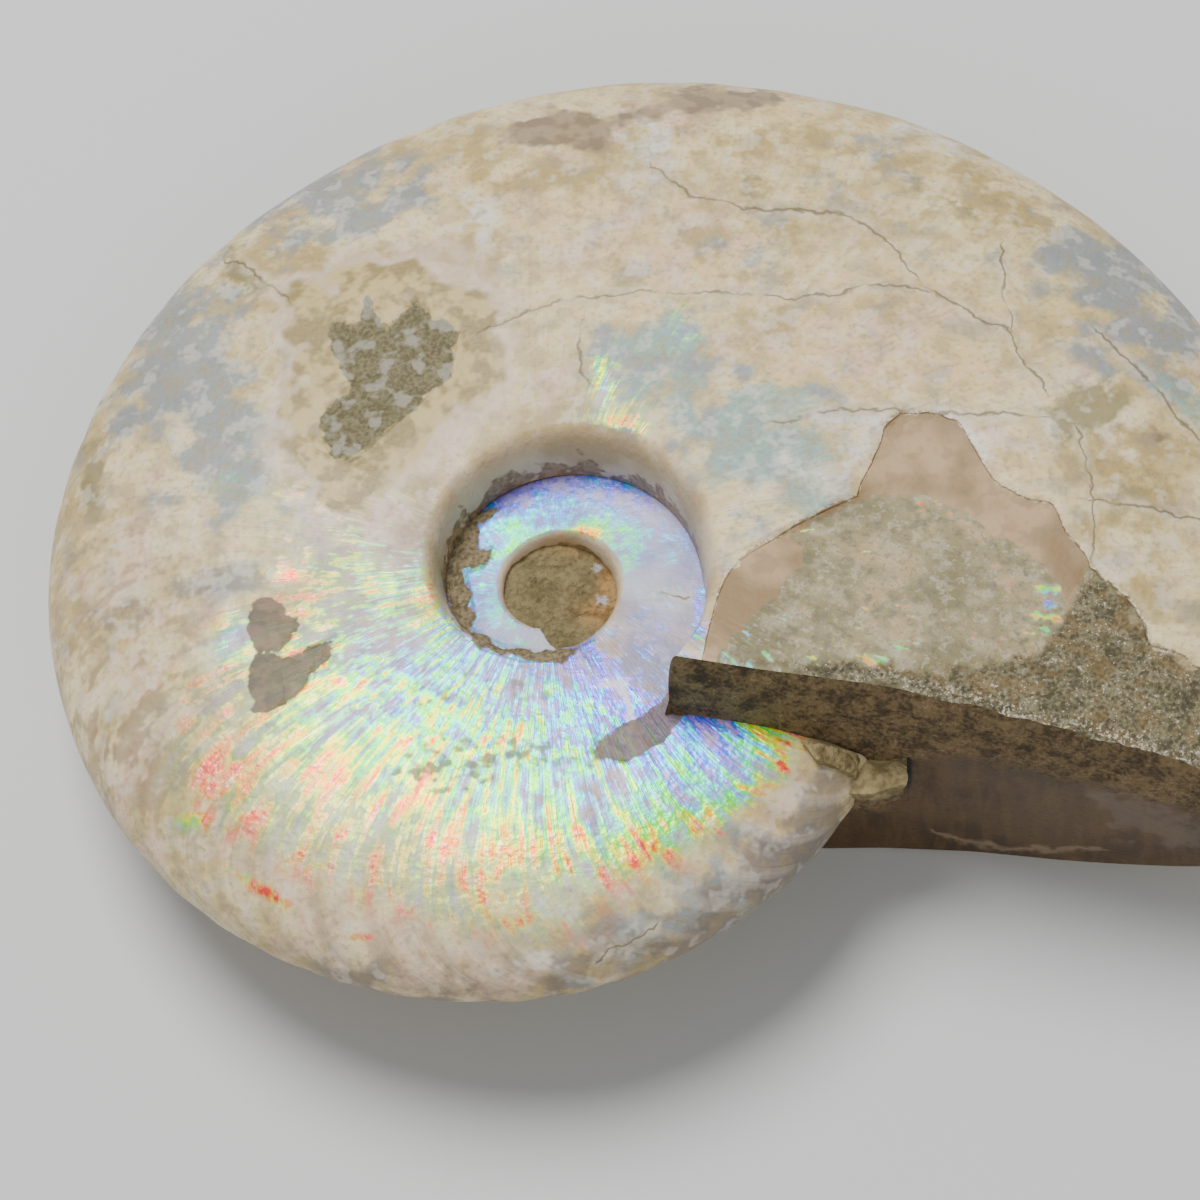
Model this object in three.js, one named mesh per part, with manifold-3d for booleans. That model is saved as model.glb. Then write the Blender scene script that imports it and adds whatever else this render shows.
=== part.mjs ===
// An iridescent ammonite: a coiled fossil shell filled with stone, lying on one flank.
// Millimetres, +Z up. The origin is under the middle of the fossil, on the surface it rests on.
// The spiral grows clockwise seen from above. A growth angle of 0 points along +X.
import * as THREE from "three";
import { ConvexGeometry } from "three/addons/geometries/ConvexGeometry.js";
import { mergeVertices } from "three/addons/utils/BufferGeometryUtils.js";
import Module from "manifold-3d";

const wasm = await Module();
wasm.setup();

// The coil, measured in the plane of the shell
const TURN = 2 * Math.PI;
const VENTER_RADIUS = 49.5; // coil axis to outer rim at growth angle 0
const VENTER_GROWTH = 0.1273; // per radian, so each turn is 2.2 times the last
const SHOULDER_RADIUS = 11.8; // coil axis to umbilical shoulder at growth angle 0
const SHOULDER_GROWTH = 0.131;
const HALF_THICKNESS = 0.193; // share of the outer rim's radius
const FLANK_POWER = 3.1; // how long the flank stays flat before it falls to the rim
const FLANK_ROUND = 0.484;
const WALL_WIDTH = 0.15; // umbilical wall, as a share of the shoulder's radius
const WALL_AT_BREAK = 0.04; // it stands almost upright by the broken end
const WALL_POWER = 2.4; // how steep the wall stands under its rounded shoulder
const PLUG_HEIGHT = 2.25; // stone that fills the innermost whorls, above the middle plane

// The broken end, a face that runs outwards from the umbilicus: its line seen from above, where
// it meets the upper flank and in the middle plane. Its lower half leans half as much
const BREAK_TOP_HEIGHT = 10;
const BREAK_AT_TOP = [[5, -9.4], [14, -10.4], [19, -11.3], [26, -13.1], [33, -15.3], [50, -19.9]];
const BREAK_IN_MIDDLE = [[5, -10], [10, -10.9], [14, -12], [19, -12.5], [26, -13.8], [33, -15.6], [50, -19.7]];
const LOWER_LEAN = 0.5;

// Low ribs on the outer half of the flanks, which fade towards the broken end
const RIBS_PER_TURN = 44;
const RIB_HEIGHT = 0.14;
const RIB_SWEEP = 0.3; // how far a rib leans back towards the rim, in radians

// Places by the broken end where the shell has flaked off the stone, seen from above
const SHELL_LOSS = 0.55;
const LOST_SHELL = [
  [8.0, -14.0], [10.7, -8.7], [11.6, -4.8], [13.7, 1.4], [16.0, -0.3], [20.3, 1.6], [22.6, 7.8],
  [26.8, 7.6], [29.0, 2.4], [32.7, 0.8], [34.8, -4.0], [37.6, -7.5], [41.0, -10.8], [43.0, -22.0],
].map(([x, y]) => new THREE.Vector2(x, y));

// The lump of stone left on the broken face beside the inner whorl
const LUMP_CENTRE = new THREE.Vector3(19.8, -13.2, -0.2);
const LUMP_CORNERS = [
  [-3.0, 1.5, 1.5], [2.9, 1.5, 1.4], [2.6, -1.4, 1.2], [0.5, -2.0, 1.25], [-1.8, -1.9, 1.2],
  [2.2, -1.3, -1.2], [0, -1.8, -1.4], [-2.0, -1.0, -2.0], [2.4, 1.5, -1.8], [-2.4, 1.5, -2.2],
];

// How it lies: its thick broken side lifts the coil, and the lowest skin is worn flat
const LEAN_ABOUT_X = THREE.MathUtils.degToRad(-4.8);
const LEAN_ABOUT_Y = THREE.MathUtils.degToRad(-1.2);
const WORN_DEPTH = 0.4;

// How finely the skin is divided
const STEPS_PER_TURN = 104;
const STEPS_INSIDE = 104; // growth steps before the last whorl starts
const WALL_STEPS = 3;
const INNER_STEPS = WALL_STEPS + 2; // seam to the line where the next whorl begins
const OUTER_STEPS = 11; // that line to the rim
const RIM_ROW = INNER_STEPS + OUTER_STEPS;
const LAST_STEP = STEPS_INSIDE + STEPS_PER_TURN;

const venterRadius = (angle) => VENTER_RADIUS * Math.exp(VENTER_GROWTH * angle);
const shoulderRadius = (angle) => SHOULDER_RADIUS * Math.exp(SHOULDER_GROWTH * angle);
const wallWidth = (angle) =>
  THREE.MathUtils.lerp(WALL_WIDTH, WALL_AT_BREAK, THREE.MathUtils.smoothstep(angle, 0, 0.8));
const seamRadius = (angle) => (1 - wallWidth(angle)) * shoulderRadius(angle);

// Height of a line of points over x, straight between them and flat beyond them
function lineAt(points, x) {
  const last = points.findIndex(([px]) => px > x);
  if (last <= 0) return last === 0 ? points[0][1] : points.at(-1)[1];
  const [[x0, y0], [x1, y1]] = [points[last - 1], points[last]];
  return THREE.MathUtils.mapLinear(x, x0, x1, y0, y1);
}

function breakY(x, z) {
  const up = (z < 0 ? LOWER_LEAN * z : z) / BREAK_TOP_HEIGHT;
  return THREE.MathUtils.lerp(lineAt(BREAK_IN_MIDDLE, x), lineAt(BREAK_AT_TOP, x), up);
}

// Height of a whorl's flank above the middle plane, at a radius outside its shoulder
function flankHeight(angle, radius) {
  const inner = shoulderRadius(angle);
  const share = THREE.MathUtils.clamp((radius - inner) / (venterRadius(angle) - inner), 0, 1);
  return HALF_THICKNESS * venterRadius(angle) * (1 - share ** FLANK_POWER) ** FLANK_ROUND;
}

const seamHeight = (angle) => Math.max(flankHeight(angle - TURN, seamRadius(angle)), PLUG_HEIGHT);

// Radius and height of a row of the section: row 0 is the seam, RIM_ROW the outer rim
function sectionPoint(angle, row) {
  const inner = shoulderRadius(angle);
  const outer = venterRadius(angle);
  const top = HALF_THICKNESS * outer;
  if (row < WALL_STEPS) {
    const turn = (row / WALL_STEPS) * (Math.PI / 2);
    const across = 1 - Math.cos(turn) ** (2 / WALL_POWER);
    const rise = Math.sin(turn) ** (2 / WALL_POWER);
    const foot = seamHeight(angle);
    return [
      THREE.MathUtils.lerp(seamRadius(angle), inner, across),
      THREE.MathUtils.lerp(foot, Math.max(top, foot), rise),
    ];
  }
  // Past the shoulder, equal steps of a turning angle crowd the rows towards the round rim
  const coverShare = (seamRadius(angle + TURN) - inner) / (outer - inner);
  const coverTurn = Math.acos(coverShare ** (FLANK_POWER / 2));
  const turn =
    row <= INNER_STEPS
      ? THREE.MathUtils.lerp(Math.PI / 2, coverTurn, (row - WALL_STEPS) / (INNER_STEPS - WALL_STEPS))
      : THREE.MathUtils.lerp(coverTurn, 0, (row - INNER_STEPS) / OUTER_STEPS);
  const share = Math.max(Math.cos(turn), 0) ** (2 / FLANK_POWER);
  const height = Math.max(top * Math.sin(turn) ** (2 * FLANK_ROUND), 0);
  const lowest = row <= INNER_STEPS ? PLUG_HEIGHT : 0;
  return [THREE.MathUtils.lerp(inner, outer, share), Math.max(height, lowest)];
}

// The growth angle at which a row meets the broken face, on the last whorl or turns before it
function angleAtBreak(row, side, turnsBack) {
  let low = 0;
  let high = Math.PI / 2;
  for (let i = 0; i < 40; i++) {
    const angle = (low + high) / 2;
    const [radius, height] = sectionPoint(angle - turnsBack * TURN, row);
    const [x, y] = [radius * Math.cos(angle), -radius * Math.sin(angle)];
    if (y < breakY(x, side * height)) high = angle;
    else low = angle;
  }
  return (low + high) / 2 - turnsBack * TURN;
}

// The upper and lower seam end at the same growth angle
const END_ANGLE = angleAtBreak(0, 0, 0);
const FIRST_ANGLE = END_ANGLE - (LAST_STEP / STEPS_PER_TURN) * TURN;
const lastWhorlAngles = { "-1": [], 1: [] };
for (const side of [-1, 1]) {
  for (let row = 0; row <= RIM_ROW; row++) {
    const start = row <= INNER_STEPS ? END_ANGLE - TURN : angleAtBreak(row, side, 1);
    const end = row === 0 ? END_ANGLE : angleAtBreak(row, side, 0);
    lastWhorlAngles[side].push({ start, end });
  }
}

// Rows of the last whorl lean so that both of its ends lie in the broken face
function growthAngle(step, row, side) {
  const even = FIRST_ANGLE + (step / STEPS_PER_TURN) * TURN;
  const along = (step - STEPS_INSIDE) / STEPS_PER_TURN;
  if (along < 0) return even;
  const { start, end } = lastWhorlAngles[side][row];
  return even + THREE.MathUtils.lerp(start - (END_ANGLE - TURN), end - END_ANGLE, along);
}

// How far a point lies inside the lost shell's outline, below zero outside it
function depthInLostShell(point) {
  let nearest = Infinity;
  let inside = false;
  LOST_SHELL.forEach((a, i) => {
    const b = LOST_SHELL[(i + 1) % LOST_SHELL.length];
    const side = b.clone().sub(a);
    const along = THREE.MathUtils.clamp(point.clone().sub(a).dot(side) / side.lengthSq(), 0, 1);
    nearest = Math.min(nearest, point.distanceTo(a.clone().addScaledVector(side, along)));
    const crosses = a.y > point.y !== b.y > point.y;
    if (crosses && point.x < a.x + ((point.y - a.y) / (b.y - a.y)) * (b.x - a.x)) inside = !inside;
  });
  return inside ? nearest : -nearest;
}

// Ribs and flaked shell, as a shift along the section's outward direction
function relief(angle, row, side, plan) {
  const outwards = (row - INNER_STEPS) / OUTER_STEPS;
  if (outwards <= 0) return 0;
  const age = (angle - (END_ANGLE - TURN)) / TURN;
  const strength = Math.sin(Math.PI * Math.min(outwards, 0.85)) * Math.max(1 - 1.15 * age, 0);
  const ribs = RIB_HEIGHT * strength * Math.sin(RIBS_PER_TURN * (angle + RIB_SWEEP * outwards ** 2));
  const lost = side > 0 && age > 0.75 ? Math.min(Math.max(depthInLostShell(plan), 0), 1) : 0;
  return ribs - SHELL_LOSS * lost;
}

function skinPoint(step, row, side) {
  const angle = growthAngle(step, row, side);
  const [radius, height] = sectionPoint(angle, row);
  const plan = new THREE.Vector2(radius * Math.cos(angle), -radius * Math.sin(angle));
  const shift = relief(angle, row, side, plan);
  const steep = row <= INNER_STEPS ? 0 : ((row - INNER_STEPS) / OUTER_STEPS) ** 3;
  const tipped = new THREE.Vector2(steep, 1 - steep).normalize();
  // The rows that end on the broken face stay in its plane
  const onBreak = step === LAST_STEP || (step === STEPS_INSIDE && row > INNER_STEPS);
  const grown = onBreak ? 1 : 1 + (shift * tipped.x) / radius;
  return [plan.x * grown, plan.y * grown, side * Math.max(height + shift * tipped.y, 0)];
}

// The skin of both flanks, the stone plug in each umbilicus and the broken face, sharing their edges
function ammoniteGeometry() {
  const positions = [];
  const index = [];
  const known = new Map();
  const vertex = (step, row, side) => {
    if (row === 0 && step >= STEPS_PER_TURN) return vertex(step - STEPS_PER_TURN, INNER_STEPS, side);
    const key = row === RIM_ROW ? `${step} rim` : `${step} ${row} ${side}`;
    if (!known.has(key)) {
      known.set(key, positions.length / 3);
      positions.push(...skinPoint(step, row, side));
    }
    return known.get(key);
  };
  const face = (a, b, c, side) => index.push(...(side > 0 ? [a, b, c] : [a, c, b]));
  for (const side of [1, -1]) {
    for (let step = 0; step < LAST_STEP; step++) {
      const rows = step < STEPS_INSIDE ? INNER_STEPS : RIM_ROW;
      for (let row = 0; row < rows; row++) {
        const [a, b] = [vertex(step, row, side), vertex(step, row + 1, side)];
        const [c, d] = [vertex(step + 1, row + 1, side), vertex(step + 1, row, side)];
        face(a, c, b, side);
        face(a, d, c, side);
      }
    }
    const rimOfPlug = [];
    for (let step = 0; step < STEPS_PER_TURN; step++) rimOfPlug.push(vertex(step, 0, side));
    for (let row = INNER_STEPS; row > 0; row--) rimOfPlug.push(vertex(0, row, side));
    const centre = positions.length / 3;
    positions.push(0, 0, side * PLUG_HEIGHT);
    rimOfPlug.forEach((v, i) => face(centre, rimOfPlug[(i + 1) % rimOfPlug.length], v, side));
  }
  // The broken face, flattened to distance along it and height, lies between two sections
  const loop = [];
  for (let row = 0; row < RIM_ROW; row++) loop.push(vertex(LAST_STEP, row, 1));
  for (let row = RIM_ROW; row >= 0; row--) loop.push(vertex(LAST_STEP, row, -1));
  for (let row = INNER_STEPS + 1; row < RIM_ROW; row++) loop.push(vertex(STEPS_INSIDE, row, -1));
  for (let row = RIM_ROW; row > INNER_STEPS; row--) loop.push(vertex(STEPS_INSIDE, row, 1));
  const flat = loop.map((v) => new THREE.Vector2(positions[3 * v], positions[3 * v + 2]));
  for (const [a, b, c] of THREE.ShapeUtils.triangulateShape(flat, [])) {
    index.push(loop[a], loop[b], loop[c]);
  }
  const geometry = new THREE.BufferGeometry();
  geometry.setAttribute("position", new THREE.Float32BufferAttribute(positions, 3));
  geometry.setIndex(index);
  return geometry;
}

function lumpGeometry() {
  const corners = LUMP_CORNERS.map(([x, y, z]) => new THREE.Vector3(x, y, z).add(LUMP_CENTRE));
  return new ConvexGeometry(corners);
}

function solidOf(geometry) {
  const bare = new THREE.BufferGeometry();
  bare.setAttribute("position", geometry.getAttribute("position"));
  bare.setIndex(geometry.getIndex());
  const merged = mergeVertices(bare, 1e-4);
  const vertProperties = new Float32Array(merged.getAttribute("position").array);
  const triVerts = new Uint32Array(merged.getIndex().array);
  return new wasm.Manifold(new wasm.Mesh({ numProp: 3, vertProperties, triVerts }));
}

function geometryOf(solid) {
  const { vertProperties, triVerts } = solid.getMesh();
  const geometry = new THREE.BufferGeometry();
  geometry.setAttribute("position", new THREE.BufferAttribute(vertProperties, 3));
  geometry.setIndex(new THREE.BufferAttribute(triVerts, 1));
  geometry.computeVertexNormals();
  return geometry;
}

// Leans the coil over, sets it on the surface and wears its lowest skin flat
function restingGeometry(solid) {
  const geometry = geometryOf(solid);
  geometry.applyMatrix4(
    new THREE.Matrix4().makeRotationFromEuler(new THREE.Euler(LEAN_ABOUT_X, LEAN_ABOUT_Y, 0, "XYZ")),
  );
  geometry.computeBoundingBox();
  const box = geometry.boundingBox;
  const middle = box.getCenter(new THREE.Vector3());
  geometry.translate(-middle.x, -middle.y, -box.min.z - WORN_DEPTH);
  const size = box.getSize(new THREE.Vector3());
  const slab = new THREE.BoxGeometry(2 * size.x, 2 * size.y, size.z);
  slab.translate(0, 0, -size.z / 2);
  return geometryOf(solidOf(geometry).subtract(solidOf(slab)));
}

const shellMaterial = new THREE.MeshStandardMaterial({
  color: new THREE.Color(0.72, 0.68, 0.58),
  roughness: 0.35,
  metalness: 0,
});

const ammonite = new THREE.Mesh(
  restingGeometry(solidOf(ammoniteGeometry()).add(solidOf(lumpGeometry()))),
  shellMaterial,
);
ammonite.name = "ammonite";

const fossil = new THREE.Group();
fossil.add(ammonite);

export default fossil;
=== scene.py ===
# %% [markdown]
# # A broken, pearly ammonite
# An ammonite is a coiled shell that has turned to stone. This one still has its pearly layer, and
# its last whorl is broken across, so the stone that filled it shows. The whole fossil is one solid
# piece. This lesson builds its fine surface from the same spiral as the plain solid, marks where
# the shell has flaked or cracked, and then makes two finishes: pearly shell and broken stone.

# %% Load the frame
import functools
import math

import bmesh
import bpy
import numpy as np
from mathutils import Matrix, Vector, noise


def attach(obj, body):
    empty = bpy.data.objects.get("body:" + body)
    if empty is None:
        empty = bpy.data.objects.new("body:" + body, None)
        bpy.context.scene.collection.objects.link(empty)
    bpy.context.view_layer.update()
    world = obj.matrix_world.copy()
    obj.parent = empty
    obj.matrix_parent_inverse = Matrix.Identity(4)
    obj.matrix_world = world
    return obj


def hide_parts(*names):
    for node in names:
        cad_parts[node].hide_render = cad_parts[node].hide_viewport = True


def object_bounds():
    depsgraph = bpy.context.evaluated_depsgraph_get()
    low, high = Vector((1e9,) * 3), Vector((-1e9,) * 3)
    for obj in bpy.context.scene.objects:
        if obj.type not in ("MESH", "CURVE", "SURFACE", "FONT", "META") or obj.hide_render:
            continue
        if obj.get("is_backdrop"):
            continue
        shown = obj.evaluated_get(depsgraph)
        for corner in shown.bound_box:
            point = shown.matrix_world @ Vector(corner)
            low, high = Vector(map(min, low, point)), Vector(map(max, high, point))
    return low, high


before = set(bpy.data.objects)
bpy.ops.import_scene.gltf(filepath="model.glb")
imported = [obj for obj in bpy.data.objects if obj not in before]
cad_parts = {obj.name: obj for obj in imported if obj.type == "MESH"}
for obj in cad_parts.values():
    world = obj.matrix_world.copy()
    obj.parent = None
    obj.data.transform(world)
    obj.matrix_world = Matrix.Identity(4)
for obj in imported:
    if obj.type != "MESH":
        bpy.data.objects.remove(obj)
CAD_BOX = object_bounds()
print("The fossil's box in metres:", [tuple(round(v, 4) for v in corner) for corner in CAD_BOX])

# %% [markdown]
# ## The spiral
# Every whorl is a scaled copy of the one before it, because the animal grew without changing
# shape. So a growth angle gives every size by an exponential. The numbers are millimetres in the
# plane of the coil, and the angle grows clockwise seen from above.

# %% Sizes of the coil
MM = 0.001
TURN = 2 * math.pi
VENTER_RADIUS, VENTER_GROWTH = 49.5, 0.1273
SHOULDER_RADIUS, SHOULDER_GROWTH = 11.8, 0.131
HALF_THICKNESS = 0.193
FLANK_POWER, FLANK_ROUND = 3.1, 0.484
WALL_WIDTH, WALL_AT_BREAK, WALL_POWER = 0.15, 0.04, 2.4
PLUG_HEIGHT = 2.25


def smooth(low, high, value):
    """A soft step from 0 at low to 1 at high, which may be the smaller of the two."""
    share = np.clip((value - low) / (high - low), 0, 1)
    return share * share * (3 - 2 * share)


def venter_radius(angle):
    return VENTER_RADIUS * np.exp(VENTER_GROWTH * angle)


def shoulder_radius(angle):
    return SHOULDER_RADIUS * np.exp(SHOULDER_GROWTH * angle)


def seam_radius(angle):
    width = WALL_WIDTH + (WALL_AT_BREAK - WALL_WIDTH) * smooth(0, 0.8, angle)
    return (1 - width) * shoulder_radius(angle)


def flank_height(angle, radius):
    inner = shoulder_radius(angle)
    share = np.clip((radius - inner) / (venter_radius(angle) - inner), 0, 1)
    return HALF_THICKNESS * venter_radius(angle) * (1 - share**FLANK_POWER) ** FLANK_ROUND


print("Outer rim at the start and the end of the last turn, mm:",
      [round(float(venter_radius(a)), 1) for a in (-TURN, 0)])

# %% [markdown]
# A whorl's section starts at the seam, where it touches the whorl before it. It climbs the wall
# of the umbilicus, turns over the shoulder and runs along the flank to the outer rim. One number,
# the place, follows it: 0 to 1 up the wall, 1 to 2 over the strip that the next whorl leaves
# bare, and 2 to 3 over the rest of the flank.


# %% The section of a whorl
def section(angle, place):
    """Radius and height above the middle plane of a place on the section."""
    inner, outer = shoulder_radius(angle), venter_radius(angle)
    top, seam = HALF_THICKNESS * outer, seam_radius(angle)
    foot = np.maximum(flank_height(angle - TURN, seam), PLUG_HEIGHT)
    climb = np.clip(place, 0, 1) * math.pi / 2
    wall_radius = seam + (inner - seam) * (1 - np.clip(np.cos(climb), 0, 1) ** (2 / WALL_POWER))
    wall_height = foot + (np.maximum(top, foot) - foot) * np.sin(climb) ** (2 / WALL_POWER)
    bare = np.arccos(((seam_radius(angle + TURN) - inner) / (outer - inner)) ** (FLANK_POWER / 2))
    turn = np.where(place <= 2, math.pi / 2 + (bare - math.pi / 2) * (place - 1), bare * (3 - place))
    turn = np.clip(turn, 0, math.pi / 2)
    radius = inner + (outer - inner) * np.cos(turn) ** (2 / FLANK_POWER)
    height = top * np.sin(turn) ** (2 * FLANK_ROUND)
    height = np.where(place <= 2, np.maximum(height, PLUG_HEIGHT), height)
    on_wall = place < 1
    return np.where(on_wall, wall_radius, radius), np.where(on_wall, wall_height, height)


# %% [markdown]
# ## The broken end
# The last whorl stops at an uneven face. Two lines seen from above describe it, one at the height
# of the upper flank and one in the middle plane. A search by halves finds the growth angle at
# which each place of the section meets that face.

# %% The broken face
BREAK_TOP_HEIGHT, LOWER_LEAN = 10, 0.5
BREAK_AT_TOP = [(5, -9.4), (14, -10.4), (19, -11.3), (26, -13.1), (33, -15.3), (50, -19.9)]
BREAK_IN_MIDDLE = [(5, -10), (10, -10.9), (14, -12), (19, -12.5), (26, -13.8), (33, -15.6), (50, -19.7)]


def break_y(x, z):
    up = np.where(z < 0, LOWER_LEAN * z, z) / BREAK_TOP_HEIGHT
    middle, top = np.interp(x, *zip(*BREAK_IN_MIDDLE)), np.interp(x, *zip(*BREAK_AT_TOP))
    return middle + (top - middle) * up


HALVINGS = 40


def angle_at_break(place, side, turns_back):
    low, high = np.zeros_like(place), np.full_like(place, math.pi / 2)
    for _ in range(HALVINGS):
        angle = (low + high) / 2
        radius, height = section(angle - turns_back * TURN, place)
        ahead = -radius * np.sin(angle) < break_y(radius * np.cos(angle), side * height)
        low, high = np.where(ahead, low, angle), np.where(ahead, angle, high)
    return (low + high) / 2 - turns_back * TURN


END_ANGLE = float(angle_at_break(np.zeros(1), 0, 0)[0])
print("The seam ends at a growth angle of", round(math.degrees(END_ANGLE), 1), "degrees")

# %% [markdown]
# ## A net of points over both flanks
# The skin is a net. One way it follows growth for two turns and one way it follows the section.
# The rows of the last turn slide along the growth lines, a little more at each step, so that both
# ends of that turn lie in the broken face. The hidden lower flank gets a wider net.

# %% Growth steps and rows
STEPS_PER_TURN = 600
BREAK_STEP = STEPS_PER_TURN  # where the last turn starts, under its own broken end
LAST_STEP = 2 * STEPS_PER_TURN  # the broken end
ROWS = {
    1: np.concatenate([np.linspace(0, 1, 11), np.linspace(1, 2, 7)[1:], np.linspace(2, 3, 65)[1:]]),
    -1: np.concatenate([np.linspace(0, 1, 6), np.linspace(1, 2, 4)[1:], np.linspace(2, 3, 27)[1:]]),
}


def growth_angles(side):
    places = ROWS[side]
    steps = np.arange(LAST_STEP + 1)[:, None]
    even = END_ANGLE + (steps - LAST_STEP) / STEPS_PER_TURN * TURN
    start = np.where(places <= 2, 0, angle_at_break(places, side, 1) - (END_ANGLE - TURN))
    end = np.where(places == 0, 0, angle_at_break(places, side, 0) - END_ANGLE)
    along = np.clip((steps - BREAK_STEP) / STEPS_PER_TURN, 0, 1)
    return even + start + (end - start) * along


def plain_net(side):
    """The angle and the smooth position, in mm, of every point of a flank's net."""
    angle = growth_angles(side)
    radius, height = section(angle, ROWS[side][None])
    return angle, np.stack([radius * np.cos(angle), -radius * np.sin(angle), side * height], -1)


nets = {side: plain_net(side) for side in (1, -1)}
print("Points in the two nets:", [net[1].shape[:2] for net in nets.values()])

# %% [markdown]
# ## How it lies, and where it is seen from
# The fossil leans a little on its lower flank, where the lowest skin is worn flat. The camera
# looks down on it from the front. The same camera also says where a point of the fossil lands in
# a picture frame of 1200 by 1200, so a crack or a chip can be marked out in that frame and still
# sit on the curved shell.

# %% Resting pose
LEAN_ABOUT_X, LEAN_ABOUT_Y = math.radians(-4.8), math.radians(-1.2)
WORN_DEPTH = 0.4


def turn_about_x(angle):
    c, s = math.cos(angle), math.sin(angle)
    return np.array([[1, 0, 0], [0, c, -s], [0, s, c]])


def turn_about_y(angle):
    c, s = math.cos(angle), math.sin(angle)
    return np.array([[c, 0, s], [0, 1, 0], [-s, 0, c]])


LEAN = turn_about_x(LEAN_ABOUT_X) @ turn_about_y(LEAN_ABOUT_Y)
leaned = np.concatenate([net[1][BREAK_STEP:].reshape(-1, 3) for net in nets.values()]) @ LEAN.T
SHIFT = -(leaned.min(0) + leaned.max(0)) / 2
SHIFT[2] = -leaned[:, 2].min() - WORN_DEPTH


def laid_down(points):
    """Points of the coil, in mm, as they lie on the surface."""
    return points @ LEAN.T + SHIFT


print("The coil's centre lies at", SHIFT.round(2), "mm")

# %% Camera
VIEW_TURN = turn_about_y(math.radians(-6.56)) @ turn_about_x(math.radians(3.32))
VIEW_HEIGHT = math.radians(56.86)
VIEW_DISTANCE = 325.0
FOCAL_PIXELS = 5000.0
CENTRE_PIXEL = (553.5, 612.7)  # where the coil's centre lands
FRAME_MIDDLE = 600
SENSOR = 36  # width of the camera's sensor, in mm
to_world = LEAN @ VIEW_TURN.T
back = to_world @ [0, -math.cos(VIEW_HEIGHT), math.sin(VIEW_HEIGHT)]
right = to_world @ [1, 0, 0]
up = to_world @ [0, math.sin(VIEW_HEIGHT), math.cos(VIEW_HEIGHT)]
PIXEL = VIEW_DISTANCE / FOCAL_PIXELS
EYE = SHIFT + VIEW_DISTANCE * back
aside, above = FRAME_MIDDLE - CENTRE_PIXEL[0], CENTRE_PIXEL[1] - FRAME_MIDDLE
AHEAD = SHIFT + (aside * right + above * up) * PIXEL - EYE
AHEAD /= np.linalg.norm(AHEAD)
ACROSS = np.cross(AHEAD, up)
ACROSS /= np.linalg.norm(ACROSS)
UPWARDS = np.cross(ACROSS, AHEAD)

camera_data = bpy.data.cameras.new("camera")
camera_data.sensor_width = SENSOR
camera_data.lens = SENSOR / 2 * FOCAL_PIXELS / FRAME_MIDDLE
camera_data.clip_start = 0.01
camera = bpy.data.objects.new("camera", camera_data)
bpy.context.scene.collection.objects.link(camera)
turned = Matrix(np.stack([ACROSS, UPWARDS, -AHEAD], 1).tolist())
camera.matrix_world = Matrix.Translation(EYE * MM) @ turned.to_4x4()
bpy.context.scene.camera = camera
print("The camera looks down at", round(math.degrees(math.asin(-AHEAD[2])), 1), "degrees")


def in_picture(points):
    """Where laid-down points, in mm, land in the picture frame."""
    ray = points - EYE
    depth = ray @ AHEAD
    return np.stack([FRAME_MIDDLE + FOCAL_PIXELS * (ray @ ACROSS) / depth,
                     FRAME_MIDDLE - FOCAL_PIXELS * (ray @ UPWARDS) / depth], -1)


# %% [markdown]
# ## Marks on the shell
# Chips, bare stone and cracks are outlines and lines in the picture frame. Each net point gets
# its distance to them, in millimetres, below zero outside an outline. A distance changes evenly
# from point to point, so a finish can draw a sharp, ragged edge anywhere between the points.

# %% Distances to outlines and lines
CLEAR = -50.0  # depth, in mm, of a spot that is far from every outline
LINE_REACH = 3  # distances to lines are kept up to this many mm


def to_segments(spots, line):
    """Distance to the nearest stretch of a line and on which side of it each spot is."""
    nearest, side = np.full(len(spots), np.inf), np.ones(len(spots))
    for a, b in zip(line[:-1], line[1:]):
        a, stretch = np.array(a, float), np.subtract(b, a).astype(float)
        offset = spots - a
        along = np.clip(offset @ stretch / (stretch @ stretch), 0, 1)
        distance = np.linalg.norm(offset - along[:, None] * stretch, axis=1)
        closer = distance < nearest
        left = np.sign(stretch[0] * offset[:, 1] - stretch[1] * offset[:, 0])
        nearest, side = np.where(closer, distance, nearest), np.where(closer, left, side)
    return nearest * PIXEL, side


def inside(spots, outline):
    within = np.zeros(len(spots), bool)
    x, y = spots.T
    for (ax, ay), (bx, by) in zip(outline, outline[1:] + outline[:1]):
        crosses = (ay > y) != (by > y)
        within ^= crosses & (x < ax + (y - ay) / (by - ay if by != ay else 1) * (bx - ax))
    return within


def depth_inside(spots, *outlines):
    """How deep spots lie in any of the outlines, in mm, below zero outside them."""
    depth = np.full(len(spots), CLEAR)
    for outline in outlines:
        distance = to_segments(spots, outline + outline[:1])[0]
        depth = np.maximum(depth, np.where(inside(spots, outline), distance, -distance))
    return depth


def beside(spots, *lines):
    """Signed distance to the nearest of some lines, in mm, and a share that fades away from it."""
    nearest, signed = np.full(len(spots), np.inf), np.ones(len(spots))
    for line in lines:
        distance, side = to_segments(spots, line)
        closer = distance < nearest
        nearest, signed = np.where(closer, distance, nearest), np.where(closer, distance * side, signed)
    return np.clip(signed, -LINE_REACH, LINE_REACH), 1 - smooth(0.5, 0.9, nearest)


def soft_spots(spots, *patches):
    """A cloud of soft ovals: middle x and y, half width and height, turn in degrees, strength."""
    cloud = np.zeros(len(spots))
    for x, y, wide, high, tilt, strength in patches:
        c, s = math.cos(math.radians(tilt)), math.sin(math.radians(tilt))
        dx, dy = spots[:, 0] - x, spots[:, 1] - y
        far = ((dx * c + dy * s) / wide) ** 2 + ((dy * c - dx * s) / high) ** 2
        cloud += strength * np.exp(-far)
    return np.clip(cloud, 0, 1)


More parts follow.
